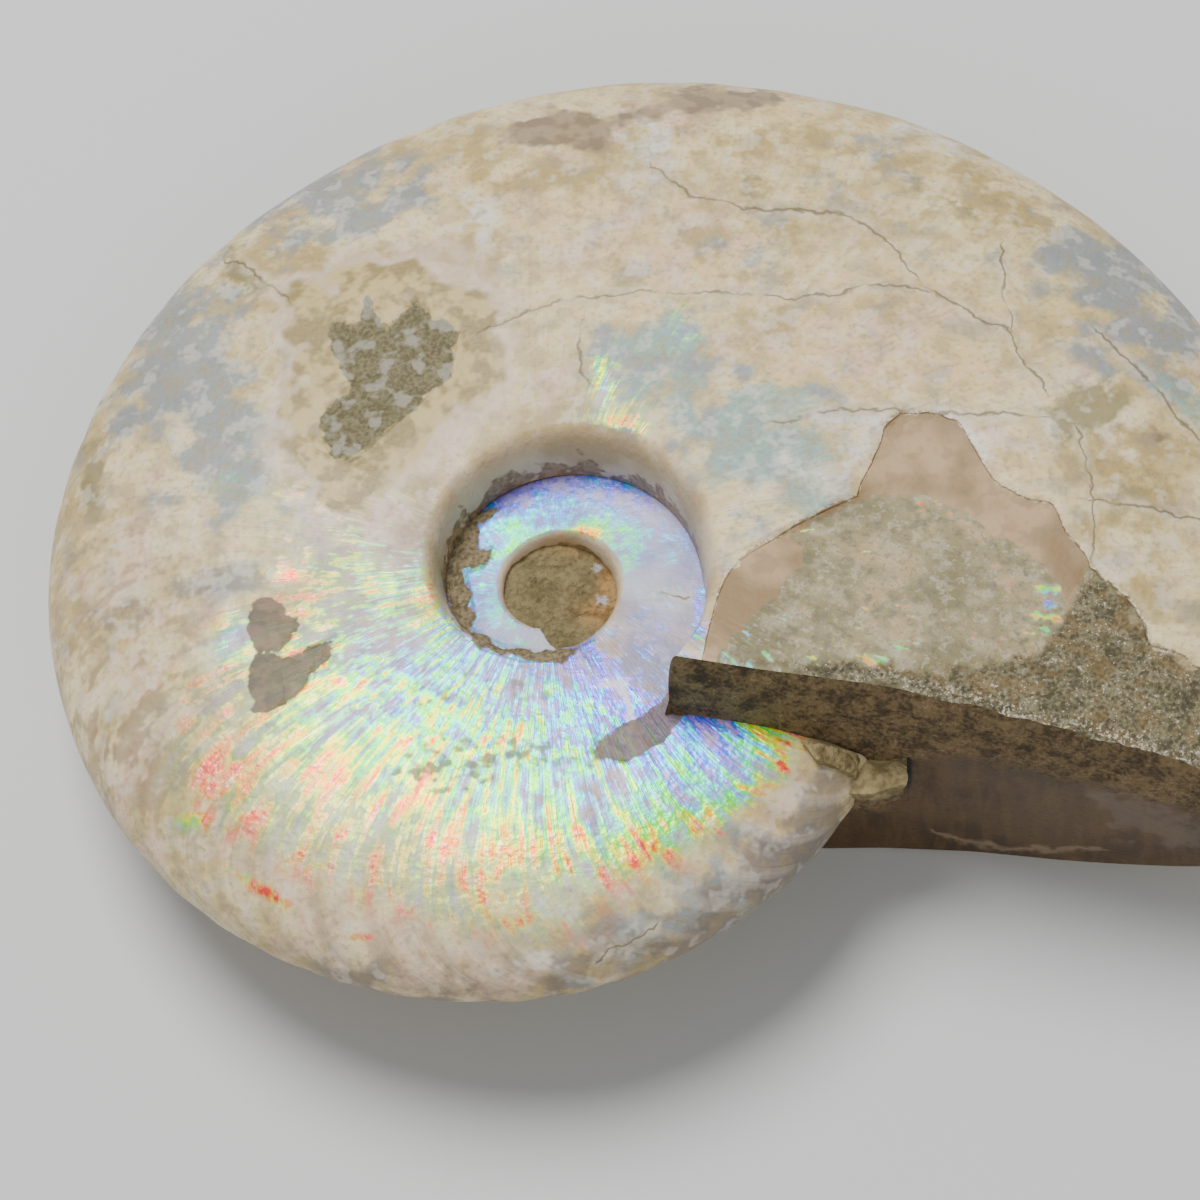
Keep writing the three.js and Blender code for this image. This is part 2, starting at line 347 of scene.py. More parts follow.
print("One pixel of the picture frame is", round(PIXEL, 4), "mm at the coil's centre")

# %% Where the shell has flaked off
FLAKED = [
    (691, 712), (700, 668), (706, 640), (715, 604), (728, 564), (742, 531), (752, 506), (779, 527),
    (789, 526), (807, 519), (834, 504), (856, 497), (864, 472), (879, 449), (885, 421), (893, 412),
    (936, 411), (960, 421), (994, 480), (1027, 498), (1053, 501), (1064, 527), (1082, 547),
    (1092, 566), (1113, 582), (1127, 594), (1143, 615), (1147, 635), (1155, 643), (1180, 651),
    (1200, 664), (1290, 700), (1420, 750), (1420, 950), (690, 950),
]
BARE_STONE = [
    (690, 720), (712, 660), (742, 615), (762, 604), (779, 588), (795, 568), (806, 555), (799, 541),
    (787, 528), (810, 520), (856, 498), (895, 488), (941, 494), (968, 509), (994, 531), (1019, 543),
    (1039, 555), (1049, 570), (1064, 586), (1070, 602), (1092, 560), (1150, 600), (1300, 690),
    (1420, 740), (1420, 950), (690, 950),
]
DEEP_STONE = [
    (1092, 566), (1084, 580), (1070, 602), (1060, 621), (1043, 640), (990, 656), (930, 662),
    (870, 656), (800, 662), (730, 668), (690, 690), (690, 950), (1420, 950), (1420, 750), (1200, 664),
    (1155, 643), (1127, 594),
]
STONE_PATCH = [
    (329, 321), (360, 325), (367, 298), (386, 329), (400, 312), (417, 295), (425, 314), (443, 318),
    (463, 325), (458, 342), (452, 356), (455, 371), (420, 402), (386, 432), (362, 452), (344, 467),
    (325, 448), (320, 430), (329, 406), (340, 395), (352, 383), (338, 365), (333, 348),
]
BROWN_CHIPS = [
    [(249, 604), (262, 599), (283, 600), (287, 612), (301, 622), (295, 632), (279, 650), (256, 650),
     (247, 630)],
    [(252, 655), (275, 652), (298, 654), (318, 642), (337, 634), (331, 652), (321, 665), (298, 692),
     (268, 713), (250, 711), (256, 700), (246, 688)],
]
BROWN_PATCHES = [
    [(498, 142), (512, 128), (528, 115), (560, 112), (600, 112), (645, 108), (622, 128), (600, 152),
     (565, 150), (530, 146)],
    [(655, 108), (668, 92), (700, 84), (780, 88), (772, 104), (735, 108), (700, 112)],
    [(1128, 432), (1150, 426), (1170, 436), (1160, 452), (1140, 456)],
    [(82, 622), (98, 618), (102, 632), (90, 640)],
]
EARTHY_SMEAR = [
    (591, 745), (612, 731), (648, 710), (681, 683), (692, 706), (667, 736), (649, 752), (628, 761),
    (600, 756),
]
UMBILICUS_STONE = [
    (500, 508), (478, 528), (476, 552), (492, 548), (486, 566), (466, 572), (470, 592), (474, 614),
    (470, 628), (500, 645), (540, 652), (584, 646), (600, 640), (560, 662), (520, 662), (480, 648),
    (450, 618), (444, 580), (450, 545), (470, 515),
]
OUTLINES = {
    "flaked": [FLAKED],
    "bare_stone": [BARE_STONE],
    "deep_stone": [DEEP_STONE],
    "stone_patch": [STONE_PATCH],
    "brown_chips_and_notch_shade": BROWN_CHIPS + [EARTHY_SMEAR],
    "brown_patch": BROWN_PATCHES,
    "earthy": [UMBILICUS_STONE],
}
print("Corner points of the flaked shell's edge:", len(FLAKED))

# %% Cracks
LONG_CRACKS = [
    [(657, 168), (688, 193), (753, 207), (830, 212), (864, 222), (891, 245), (910, 272), (933, 291),
     (960, 306), (986, 325), (1009, 329), (1021, 356), (1044, 386)],
    [(784, 423), (814, 413), (875, 409), (944, 412), (1002, 415), (1040, 417)],
    [(1097, 333), (1136, 367), (1163, 398), (1200, 440), (1250, 480)],
    [(218, 260), (237, 260), (268, 283), (285, 297)],
    [(1094, 501), (1136, 505), (1200, 520), (1260, 545)],
    [(580, 330), (575, 360), (590, 395)],
]
SIDE_CRACKS = [
    [(480, 330), (560, 300), (640, 292), (734, 291), (791, 298), (837, 293), (875, 283), (929, 291)],
    [(1002, 245), (1004, 298), (1011, 325)],
    [(1078, 432), (1090, 478), (1094, 536), (1092, 562)],
    [(596, 962), (612, 948), (640, 940), (655, 925)],
    [(640, 596), (668, 594), (692, 597)],
]
PALE_SCRATCH = [(604, 682), (622, 684), (628, 700), (630, 722)]
STONE_LIP = [(703, 668), (762, 664), (844, 671), (960, 691), (1080, 722), (1200, 755), (1300, 785)]
LINES = {"long_crack": LONG_CRACKS, "side_crack": SIDE_CRACKS,
         "scratch": [PALE_SCRATCH], "lip": [STONE_LIP]}
print("Cracks:", len(LONG_CRACKS) + len(SIDE_CRACKS))

# %% [markdown]
# ## Colours by place
# The cream shell carries clouds of blue-grey, ochre, pink and white, and a darker grey on the rim that
# is partly painted shade. The pearl shows most in one sector, where its hue runs from violet by the
# umbilicus to red near the rim; its strength there is a painted reflection of the light. Both are
# given as a few soft ovals and directions, and noise breaks them up later.

# %% Clouds of colour
# Middle x and y, half width and height, turn in degrees, strength
CLOUDS = {
    "blue_grey": [
        (760, 440, 75, 45, 10, 0.9), (1150, 325, 55, 26, 20, 1), (352, 214, 60, 36, -20, 0.9),
        (200, 395, 75, 60, 0, 1), (300, 190, 70, 24, -25, 0.7), (170, 320, 50, 40, -40, 0.7),
        (650, 665, 40, 50, 0, 0.7), (640, 360, 55, 40, 0, 0.6), (850, 165, 40, 20, 0, 0.4),
        (1070, 270, 70, 22, 15, 0.5), (240, 470, 50, 50, 0, 0.4), (620, 930, 60, 30, 0, 0.5),
        # The oval at 740, 890 darkens the lower right rim: partly its own blue-grey, partly painted shade.
        (740, 890, 110, 40, -30, 1), (1100, 250, 80, 12, 25, 0.7), (1150, 285, 60, 9, 22, 0.6),
        (1050, 335, 60, 12, 30, 0.4), (1165, 385, 50, 16, 30, 0.6), (780, 245, 40, 20, 0, 0.4),
        (230, 600, 40, 30, 0, 0.5),
    ],
    "ochre": [
        (386, 265, 110, 24, -8, 0.9), (300, 330, 24, 60, 10, 0.8), (330, 480, 50, 26, 0, 0.8),
        (470, 300, 30, 50, 10, 0.6), (560, 170, 120, 30, 0, 0.5), (790, 150, 90, 30, 0, 0.5),
        (1000, 200, 90, 40, 20, 0.6), (700, 250, 90, 26, 0, 0.4), (90, 470, 26, 60, 0, 0.5),
        (260, 250, 40, 20, -30, 0.6), (800, 320, 110, 16, 0, 0.5), (1130, 470, 80, 50, 0, 0.5),
        (430, 540, 14, 60, 0, 0.5), (590, 425, 90, 10, 0, 0.8), (1180, 600, 40, 30, 0, 0.5),
    ],
    "pink": [
        (380, 510, 90, 35, -30, 0.8), (560, 395, 110, 24, -8, 0.6), (150, 560, 60, 70, 0, 0.5),
        (610, 240, 90, 40, 0, 0.6), (150, 740, 60, 80, 30, 0.7), (330, 880, 120, 50, 15, 0.7),
        (430, 960, 110, 30, 0, 0.7), (790, 830, 40, 50, 30, 0.6), (830, 340, 110, 40, 0, 0.5),
        (940, 450, 60, 30, 0, 0.5), (540, 130, 60, 24, 0, 0.6), (720, 600, 20, 80, 20, 0.5),
        (300, 185, 60, 30, -30, 0.4), (1130, 360, 60, 30, 20, 0.4), (700, 110, 60, 14, 0, 0.8),
    ],
    "pale": [
        (640, 600, 40, 30, 0, 0.5), (560, 655, 60, 24, 0, 0.4), (480, 225, 40, 30, 0, 0.5),
        (560, 905, 90, 24, 0, 0.4), (840, 450, 50, 40, -30, 0.7), (1010, 440, 80, 26, 10, 0.5),
        (640, 150, 40, 26, -30, 0.6), (900, 130, 60, 26, 10, 0.4), (400, 610, 40, 50, 0, 0.3),
        (520, 960, 60, 20, 0, 0.4), (70, 640, 20, 60, 0, 0.5), (310, 760, 50, 30, 0, 0.2),
    ],
    "olive": [
        (1084, 409, 30, 26, 0, 1.4), (235, 268, 30, 12, 35, 0.8), (960, 200, 60, 16, 15, 0.4),
        (90, 470, 14, 50, 0, 0.6), (330, 480, 40, 16, 0, 0.5), (1120, 480, 40, 30, 0, 0.4),
        (760, 180, 50, 16, 0, 0.4),
    ],
    # Darker grey, mostly on the left and lower rim: partly the shell's own grey, partly painted shade.
    "rim_shade_and_grey": [
        (225, 583, 48, 13, -8, 1), (130, 600, 40, 30, 0, 0.5), (770, 885, 90, 40, -38, 1),
        (640, 955, 130, 22, -8, 0.8), (420, 985, 90, 20, 10, 0.6), (830, 810, 20, 50, 20, 0.8),
    ],
    "tan": [
        (860, 350, 180, 55, 3, 1), (700, 240, 160, 50, 8, 0.9), (980, 460, 90, 40, 20, 0.7),
        (560, 330, 120, 30, -10, 0.5), (820, 130, 170, 30, 8, 0.7), (560, 180, 120, 30, -5, 0.6),
        (1000, 270, 60, 40, 20, 0.4), (430, 300, 60, 40, 0, 0.5),
    ],
    "teal": [
        (660, 340, 45, 30, -35, 0.8), (770, 430, 60, 40, -10, 0.9), (700, 390, 60, 26, 10, 0.6),
        (790, 480, 50, 24, 20, 0.8), (230, 480, 40, 12, 0, 0.5), (230, 620, 30, 40, 0, 0.5),
        (1190, 400, 40, 20, 30, 0.5), (1060, 590, 30, 30, 0, 0.4),
    ],
    "striped": [
        (150, 690, 120, 100, 0, 1), (200, 800, 110, 60, 35, 0.9), (560, 940, 200, 40, -5, 0.6),
        (120, 560, 60, 60, 0, 0.5),
    ],
    "specks": [
        (445, 765, 50, 24, 0, 1), (520, 752, 40, 14, 0, 0.9), (520, 690, 60, 20, 0, 0.35),
        (580, 760, 40, 12, 0, 0.5), (1020, 610, 30, 60, 0, 0.4), (430, 690, 40, 16, 0, 0.5),
    ],
}
print("Soft ovals of colour:", sum(map(len, CLOUDS.values())))

# %% Painted reflection in the pearl
UMBILICUS = (565, 590)
# Direction in degrees, clockwise from the right; distance of violet and of red; strength of the painted
# reflection
PAINTED_REFLECTION = [
    (0, 200, 500, 0), (22, 200, 290, 0.4), (30, 205, 290, 1), (40, 205, 290, 1), (50, 205, 308, 1),
    (60, 150, 330, 1), (75, 80, 370, 0.9), (100, 20, 370, 0.95), (120, -30, 375, 1),
    (140, -50, 420, 1), (152, -20, 460, 0.85), (168, 40, 440, 0.5), (180, 60, 330, 0.45),
    (200, 130, 420, 0.25), (225, 130, 500, 0.05), (260, 60, 420, 0.05), (280, 60, 480, 0.1),
    (297, 60, 560, 0.1), (315, 120, 700, 0.05), (360, 200, 500, 0),
]
# Middle x and y, half width and height, turn, hue from 0 violet to 1 red, strength
GLINTS = [
    (645, 645, 38, 60, 15, 0.12, 0.5), (900, 645, 26, 12, 0, 0.1, 0.4), (1062, 588, 16, 20, 20, 0.45, 0.7),
    (192, 822, 20, 11, -10, 0.84, 1), (290, 574, 24, 8, 10, 0.93, 0.9), (300, 598, 18, 8, 0, 0.8, 0.5),
    (262, 890, 44, 7, 33, 1.02, 0.9), (358, 938, 14, 5, 0, 1.05, 0.6),
    (587, 533, 22, 8, 8, 1.05, 1.3), (512, 543, 36, 9, -34, 0.38, 1.2),
    (700, 736, 26, 34, -40, 0.1, 0.6), (766, 752, 14, 22, -20, 0.5, 0.9), (783, 762, 8, 22, -10, 0.88, 0.9),
    (744, 792, 16, 22, -35, 0.55, 0.6), (660, 745, 30, 30, 0, 0.14, 0.5), (480, 700, 60, 30, 0, 0.5, 0.5),
    (240, 640, 34, 40, 20, 0.45, 0.6), (605, 375, 20, 34, 35, 0.5, 0.45), (680, 330, 24, 26, 30, 0.38, 0.4),
    (640, 427, 60, 7, 8, 0.74, 0.6), (432, 590, 8, 50, 0, 0.8, 0.5), (410, 640, 60, 30, 30, 0.35, 0.4),
    (698, 610, 7, 50, 5, 0.14, 0.8), (548, 530, 50, 7, -25, 0.4, 0.8), (360, 860, 30, 20, 30, 0.75, 0.5),
    (1048, 596, 20, 32, 10, 0.36, 1), (1046, 625, 13, 7, 0, 0.5, 1), (893, 658, 12, 8, 0, 0.06, 0.8),
    (920, 630, 10, 14, 0, 0.1, 0.6), (615, 490, 22, 14, 0, 0.1, 1), (650, 505, 16, 10, 30, 0.1, 0.9),
    (500, 500, 30, 12, -30, 0.12, 0.9), (470, 600, 10, 30, 0, 0.25, 0.8), (600, 375, 8, 20, 25, 0.5, 0.9),
]
LAST_HUE = 0.73  # near the rim; only noise and glints go on to red
RING_HUE, RING_HUE_FALL = 0.34, 0.3
RING_REFLECTION, RING_REFLECTION_SWING, RING_DIM_SIDE = 0.42, 0.36, 55


def pearl(spots, place, ring):
    """Hue and strength of the pearl's painted reflection at spots; on the inner whorl's ring they have
    other rules.
    """
    dx, dy = spots[:, 0] - UMBILICUS[0], spots[:, 1] - UMBILICUS[1]
    direction = np.degrees(np.arctan2(dy, dx)) % 360
    distance = np.hypot(dx, dy)
    at, violet, red, strength = (np.array(column) for column in zip(*PAINTED_REFLECTION))
    violet, red = np.interp(direction, at, violet), np.interp(direction, at, red)
    hue = (distance - violet) / (red - violet)
    reflection = np.interp(direction, at, strength) * (0.35 + 0.65 * smooth(-0.9, -0.1, hue))
    outer_fade = 0.5 + 0.4 * smooth(100, 75, direction) * smooth(40, 52, direction)
    reflection *= (1 - outer_fade * smooth(0.6, 0.85, hue)) * (1 - smooth(0.85, 1.1, hue))
    hue = np.minimum(hue, LAST_HUE)
    # On the ring the painted reflection is stronger on one side and weaker towards RING_DIM_SIDE: painted
    # light by side.
    away = -np.cos(np.radians(direction - RING_DIM_SIDE))
    lit = RING_REFLECTION + RING_REFLECTION_SWING * np.clip(away, -0.6, 1)
    hue += (RING_HUE - RING_HUE_FALL * np.clip(place - 1, 0, 1) - hue) * ring
    reflection += (lit - reflection) * ring
    for x, y, wide, high, tilt, glint_hue, glint in GLINTS:
        near = soft_spots(spots, (x, y, wide, high, tilt, 1))
        hue = hue + (glint_hue - hue) * near
        reflection = np.maximum(reflection, glint * near)
    return np.clip(hue, 0, 1.1), reflection


print("Glints in the pearl:", len(GLINTS))

# %% [markdown]
# ## Relief
# Low ribs cross the younger half of the last turn. Where shell is gone, the skin steps down: a
# little to the smooth brown lining, and further to the grainy stone. Each point moves along its
# own normal, so the step is right on the flat flank and on the round rim alike.

# %% Marks and relief of a net
RIBS_PER_TURN, RIB_HEIGHT, RIB_SWEEP = 44, 0.075, 0.3
LINING_DEPTH, STONE_DEPTH, DEEP_STONE_DEPTH, PATCH_DEPTH, CHIP_DEPTH = 0.42, 0.16, 0.16, 0.26, 0.13
LINING_GRAIN, STONE_GRAIN, PATCH_GRAIN, SOIL_GRAIN, SOIL_HEIGHT = 0.03, 0.16, 0.12, 0.1, 0.12
KEEPS_SHELL = 1.2  # how far, in radians, the inner whorl's shell goes on under the last whorl
END_WEAR = 0.045  # how far back from the broken face, in radians, its edge is worn
LOWER_REFLECTION = 0.4  # strength of the pearl on the lower flank


def ripple(points, size, seed):
    """Smooth noise from -1 to 1, with lumps of a size in mm."""
    start = Vector((seed * 17.3, seed * 5.1, seed * 29.7))
    return np.array([noise.noise(Vector(p) / size + start) for p in points.tolist()])


def rib_strength(place, angle):
    outwards = np.clip(place - 2, 0, 1)
    age = np.clip((angle - (END_ANGLE - TURN)) / TURN, 0, 1)
    return smooth(0.1, 0.6, outwards) * (1 - smooth(0.86, 1, outwards)) * np.clip(1 - 1.15 * age, 0, 1)


def marks_of(points, side, place, angle):
    """All marks at points of the coil, as one number a point for each mark."""
    spots = in_picture(laid_down(points * [1, 1, side]))
    ring = smooth(0.8, 0.95, place) * smooth(2.3, 2, place) * smooth(0.1, -0.9, angle - END_ANGLE + TURN)
    hue, reflection = pearl(spots, place, ring)
    reflection *= 1 if side > 0 else LOWER_REFLECTION
    marks = {
        "growth": angle + RIB_SWEEP * np.clip(place - 2, 0, 1) ** 2,
        "outward": place,
        "hue": hue,
        "reflection": reflection,
        "ring": ring,
        "ribbed": rib_strength(place, angle),
    }
    for name, ovals in CLOUDS.items():
        marks[name] = soft_spots(spots, *ovals)
    for name, shapes in OUTLINES.items():
        marks[name] = depth_inside(spots, *shapes) if side > 0 else np.full(len(spots), CLEAR)
    for name, lines in LINES.items():
        marks[name], marks[name + "_near"] = beside(spots, *lines)
        marks[name + "_near"] *= side > 0
    # The inner whorls keep their shell where the last whorl's outlines pass over them
    inner = angle < END_ANGLE - TURN + KEEPS_SHELL
    for name in ("flaked", "bare_stone", "deep_stone"):
        marks[name] = np.where(inner, CLEAR, marks[name])
    return marks


def relief_of(marks, points, place, angle, angle_at_face):
    """How far each point moves along its normal, in mm."""
    uneven = 0.8 + ripple(points, 9, 14)
    waves = np.sin(RIBS_PER_TURN * marks["growth"] + 1.2 * ripple(points, 12, 15))
    relief = RIB_HEIGHT * uneven * marks["ribbed"] * waves
    relief += smooth(1, 2.2, place) * (0.12 * ripple(points, 13, 1) + 0.05 * ripple(points, 4, 2) - 0.05)
    ragged = 0.12 * ripple(points, 1.1, 3)
    grain = 0.5 * ripple(points, 0.9, 4) + 0.5 * ripple(points, 0.5, 5)
    lost = smooth(-0.16, 0.16, marks["flaked"] + ragged)
    bare = smooth(-0.2, 0.2, marks["bare_stone"] + ragged) * lost
    deep = smooth(-0.3, 0.3, marks["deep_stone"] + 2 * ragged) * lost
    patch = smooth(-0.2, 0.2, marks["stone_patch"] + ragged)
    chips = smooth(-0.15, 0.15, marks["brown_chips_and_notch_shade"] + ragged)
    earthy = smooth(-0.2, 0.2, marks["earthy"] + ragged)
    at_end = smooth(-END_WEAR, 0, angle - angle_at_face)
    relief -= at_end * lost * (0.35 + 0.5 * ripple(points, 2.2, 13) + 0.25 * ripple(points, 0.7, 16))
    relief -= (LINING_DEPTH * lost + STONE_DEPTH * bare + DEEP_STONE_DEPTH * deep
               + PATCH_DEPTH * patch + CHIP_DEPTH * chips)
    rough = LINING_GRAIN * bare + STONE_GRAIN * deep + PATCH_GRAIN * patch + SOIL_GRAIN * earthy
    return relief + grain * rough + SOIL_HEIGHT * earthy


# %% Shape both flanks
def normals_of(net, side):
    along, across = np.gradient(net, axis=0), np.gradient(net, axis=1)
    normal = side * np.cross(along, across)
    return normal / np.maximum(np.linalg.norm(normal, axis=-1, keepdims=True), 1e-9)


shaped, marked = {}, {}
for side, (angle, net) in nets.items():
    place = np.broadcast_to(ROWS[side], angle.shape).ravel()
    points, turned_by = net.reshape(-1, 3), angle.ravel()
    marked[side] = marks_of(points, side, place, turned_by)
    ends_at = np.broadcast_to(angle[-1], angle.shape).ravel()
    relief = relief_of(marked[side], points, place, turned_by, ends_at).reshape(angle.shape)
    shaped[side] = net + normals_of(net, side) * relief[..., None]
shaped[-1][:, -1] = shaped[1][:, -1]
print("Height of the upper half after the relief, mm:", round(float(shaped[1][..., 2].max()), 2))

# %% [markdown]
# ## The broken face
# The end of the last whorl is a sheet of columns from its upper edge to its lower edge. A grainy
# band stands a little proud along the top, and the smooth cast of the chamber lies below it. The
# inner whorl passes through the sheet, as the real one passes through the break.

# %% Sheet across the break
FACE_LEVELS = 40
GRAINY_BAND = [
    (660, 640), (1330, 640), (1330, 840), (1200, 806), (1160, 794), (1100, 778), (1040, 764),
    (1000, 756), (960, 748), (909, 746), (903, 790), (880, 800), (840, 800), (800, 770), (680, 740),
]
# A notch cut into the face beside the lump; the stone finish paints it near-black as painted shade.
NOTCH = [(907, 756), (913, 762), (912, 785), (905, 798), (899, 790), (903, 768)]
FACE_EDGE = [(940, 836), (975, 843), (1003, 850), (1040, 849), (1100, 851)]

upper_edge = shaped[1][-1]
lower_edge = np.stack([np.interp(ROWS[1], ROWS[-1], shaped[-1][-1][:, i]) for i in range(3)], -1)
fall = np.linspace(0, 1, FACE_LEVELS + 1)[None, :, None]
sheet = upper_edge[:, None] * (1 - fall) + lower_edge[:, None] * fall
ends_off = [edge[:, 1] - break_y(edge[:, 0], edge[:, 2]) for edge in (upper_edge, lower_edge)]
sheet[..., 1] = break_y(sheet[..., 0], sheet[..., 2])
sheet[..., 1] += ends_off[0][:, None] * (1 - fall[..., 0]) + ends_off[1][:, None] * fall[..., 0]
face_points = sheet.reshape(-1, 3)
face_spots = in_picture(laid_down(face_points))
face_band = depth_inside(face_spots, GRAINY_BAND)
face_notch = depth_inside(face_spots, NOTCH)
from_rim = 1 - smooth(0.9, 1, np.linspace(0, 1, len(upper_edge)))
away_from_edge = smooth(0, 0.25, np.sin(np.pi * fall[..., 0]) * from_rim[:, None])
in_band = smooth(-1.6, 0.4, face_band)
face_grain = 0.16 * ripple(face_points, 1.2, 6) + 0.14 * ripple(face_points, 0.6, 7)
face_relief = 0.28 * in_band + in_band * face_grain
face_relief += 0.12 * ripple(face_points, 5, 8) - 0.7 * smooth(-0.1, 0.3, face_notch)
sheet[..., 1] -= face_relief.reshape(sheet.shape[:2]) * away_from_edge
print("Points in the sheet across the break:", len(face_points))

# %% [markdown]
# The umbilicus, the hollow in the middle of the coil, is filled with stone. A rough disc on each side
# covers the bottom of it, and its outer edge dips under the inner whorl.

# %% Stone in the middle of the coil
PLUG_RADIUS, PLUG_RINGS, PLUG_SPOKES = 5.0, 26, 96
PLUG_PROUD = 0.12


def plug(side):
    spread = np.linspace(0.02, PLUG_RADIUS, PLUG_RINGS)[:, None]
    around = np.linspace(0, TURN, PLUG_SPOKES, endpoint=False)[None]
    points = np.stack([spread * np.cos(around), spread * np.sin(around),
                       np.full((PLUG_RINGS, PLUG_SPOKES), side * (PLUG_HEIGHT + PLUG_PROUD))], -1)
    flat = points.reshape(-1, 3)
    rough = 0.22 * ripple(flat, 1.3, 9) + 0.12 * ripple(flat, 0.5, 10)
    points[..., 2] += side * rough.reshape(PLUG_RINGS, PLUG_SPOKES)
    return points


print("Points in each plug of stone:", PLUG_RINGS * PLUG_SPOKES)

# %% [markdown]
# The last bits of stone are a lump that clings to the face beside the inner whorl, and a ledge
# that runs from it over that whorl. Each starts as the convex hull of a few corners. Subdividing
# it and pushing its points about makes it a broken chunk.

# %% Lump and ledge on the broken face
LUMP_CENTRE = np.array([19.8, -13.2, -0.2])
LUMP_CORNERS = [
    [-3.0, 1.5, 1.5], [2.9, 1.5, 1.4], [2.6, -1.4, 1.2], [0.5, -2.0, 1.25], [-1.8, -1.9, 1.2],
    [2.2, -1.3, -1.2], [0, -1.8, -1.4], [-2.0, -1.0, -2.0], [2.4, 1.5, -1.8], [-2.4, 1.5, -2.2],
]
LEDGE_OUTLINE = [(806, 741), (836, 744), (868, 757), (866, 782), (846, 774), (820, 757)]
LEDGE_RISE, LEDGE_SINK = 0.75, 0.9
SEARCH_PIXELS, CHUNK_CUTS = 8, 11


def skin_at(x, y):
    """The point of the upper skin, in mm, that the camera sees near a spot of the picture frame."""
    points = shaped[1].reshape(-1, 3)
    near = points[np.hypot(*(in_picture(laid_down(points)) - (x, y)).T) < SEARCH_PIXELS]
    return near[np.argmin(laid_down(near) @ AHEAD)]


def chunk(corners):
    """A rough piece of stone round some corners: its points and its faces."""
    bm = bmesh.new()
    for corner in corners:
        bm.verts.new(corner)
    hull = bmesh.ops.convex_hull(bm, input=bm.verts)
    loose = [v for v in set(hull["geom_interior"]) if isinstance(v, bmesh.types.BMVert)]
    bmesh.ops.delete(bm, geom=loose, context="VERTS")
    bmesh.ops.subdivide_edges(bm, edges=bm.edges, cuts=CHUNK_CUTS, use_grid_fill=True)
    bmesh.ops.triangulate(bm, faces=[f for f in bm.faces if len(f.verts) > 4])
    bm.normal_update()
    points = np.array([v.co[:] for v in bm.verts])
    normals = np.array([v.normal[:] for v in bm.verts])
    rough = 0.16 * ripple(points, 1.1, 11) + 0.12 * ripple(points, 0.5, 12) - 0.06
    faces = [[v.index for v in f.verts] for f in bm.faces]
    bm.free()
    return points + normals * rough[:, None], faces


under_ledge = np.array([skin_at(*spot) for spot in LEDGE_OUTLINE])
chunks = [chunk(LUMP_CENTRE + LUMP_CORNERS),
          chunk(np.concatenate([under_ledge + (0, 0, LEDGE_RISE), under_ledge - (0, 0, LEDGE_SINK)]))]
print("The ledge's corners, mm:", under_ledge.round(1).tolist())

# %% [markdown]
# ## One mesh
# All parts go into one mesh, because the fossil is one stone. The two flanks share the points of
# the rim. The inner turn needs only the rows that the next whorl leaves bare, and the start of
# the last turn runs a little way into the stone, so that no gap shows at the break.

# %% Gather points, faces and marks
HIDDEN_STEPS = 10
BARE_STRIP_END = 2.0001
WELL_INSIDE = 3.0  # mm
all_points, all_faces, finishes, all_marks = [], [], [], []
SHELL, STONE = 0, 1
MARK_NAMES = list(marked[1])


def keep(points, faces, finish, marks):
    """Adds a part to the mesh; marks that aren't given are blank there."""
    first = sum(map(len, all_points))
    blank = {name: np.full(len(points), CLEAR if name in OUTLINES else 0.0) for name in MARK_NAMES}
    blank.update(marks)
    all_points.append(points)
    all_marks.append(blank)
    all_faces.extend([i + first for i in face] for face in faces)
    finishes.extend([finish] * len(faces))


def quads(columns, rows, flip, shown=None):
    """Corner numbers of a net's faces; its points are numbered row by row."""
    column, row = np.meshgrid(np.arange(columns - 1), np.arange(rows - 1), indexing="ij")
    a = column * rows + row
    corners = np.stack([a, a + rows, a + rows + 1, a + 1], -1)
    corners = corners[..., ::-1] if flip else corners
    return (corners[shown] if shown is not None else corners.reshape(-1, 4)).tolist()


def shown_faces(side):
    steps = np.arange(LAST_STEP)[:, None]
    return (steps >= BREAK_STEP - HIDDEN_STEPS) | (ROWS[side][1:][None] <= BARE_STRIP_END)


for side in (1, -1):
    faces = quads(LAST_STEP + 1, len(ROWS[side]), side < 0, shown_faces(side))
    keep(shaped[side].reshape(-1, 3), faces, SHELL, marked[side])
top_rows, low_rows = len(ROWS[1]), len(ROWS[-1])
low_start = (LAST_STEP + 1) * top_rows
rim_of_top = {low_start + step * low_rows + low_rows - 1: step * top_rows + top_rows - 1
              for step in range(LAST_STEP + 1)}
all_faces[:] = [[rim_of_top.get(i, i) for i in face] for face in all_faces]
PALE_SMEARS = [(1140, 815, 34, 20, 0, 1), (1190, 840, 30, 14, 0, 0.8), (1110, 800, 20, 12, 0, 0.6)]
# On the face, the chips mark holds the notch beside the lump, painted near-black as shade.
face_marks = {"earthy": face_band, "brown_chips_and_notch_shade": face_notch,
              "pale": soft_spots(face_spots, *PALE_SMEARS),
              "long_crack": beside(face_spots, FACE_EDGE)[0],
              "long_crack_near": beside(face_spots, FACE_EDGE)[1]}
keep(sheet.reshape(-1, 3), quads(len(upper_edge), FACE_LEVELS + 1, True), STONE, face_marks)
RUSTY = [(610, 572, 14, 34, 0, 1), (596, 612, 22, 14, 0, 0.8), (575, 548, 26, 10, 0, 0.5)]
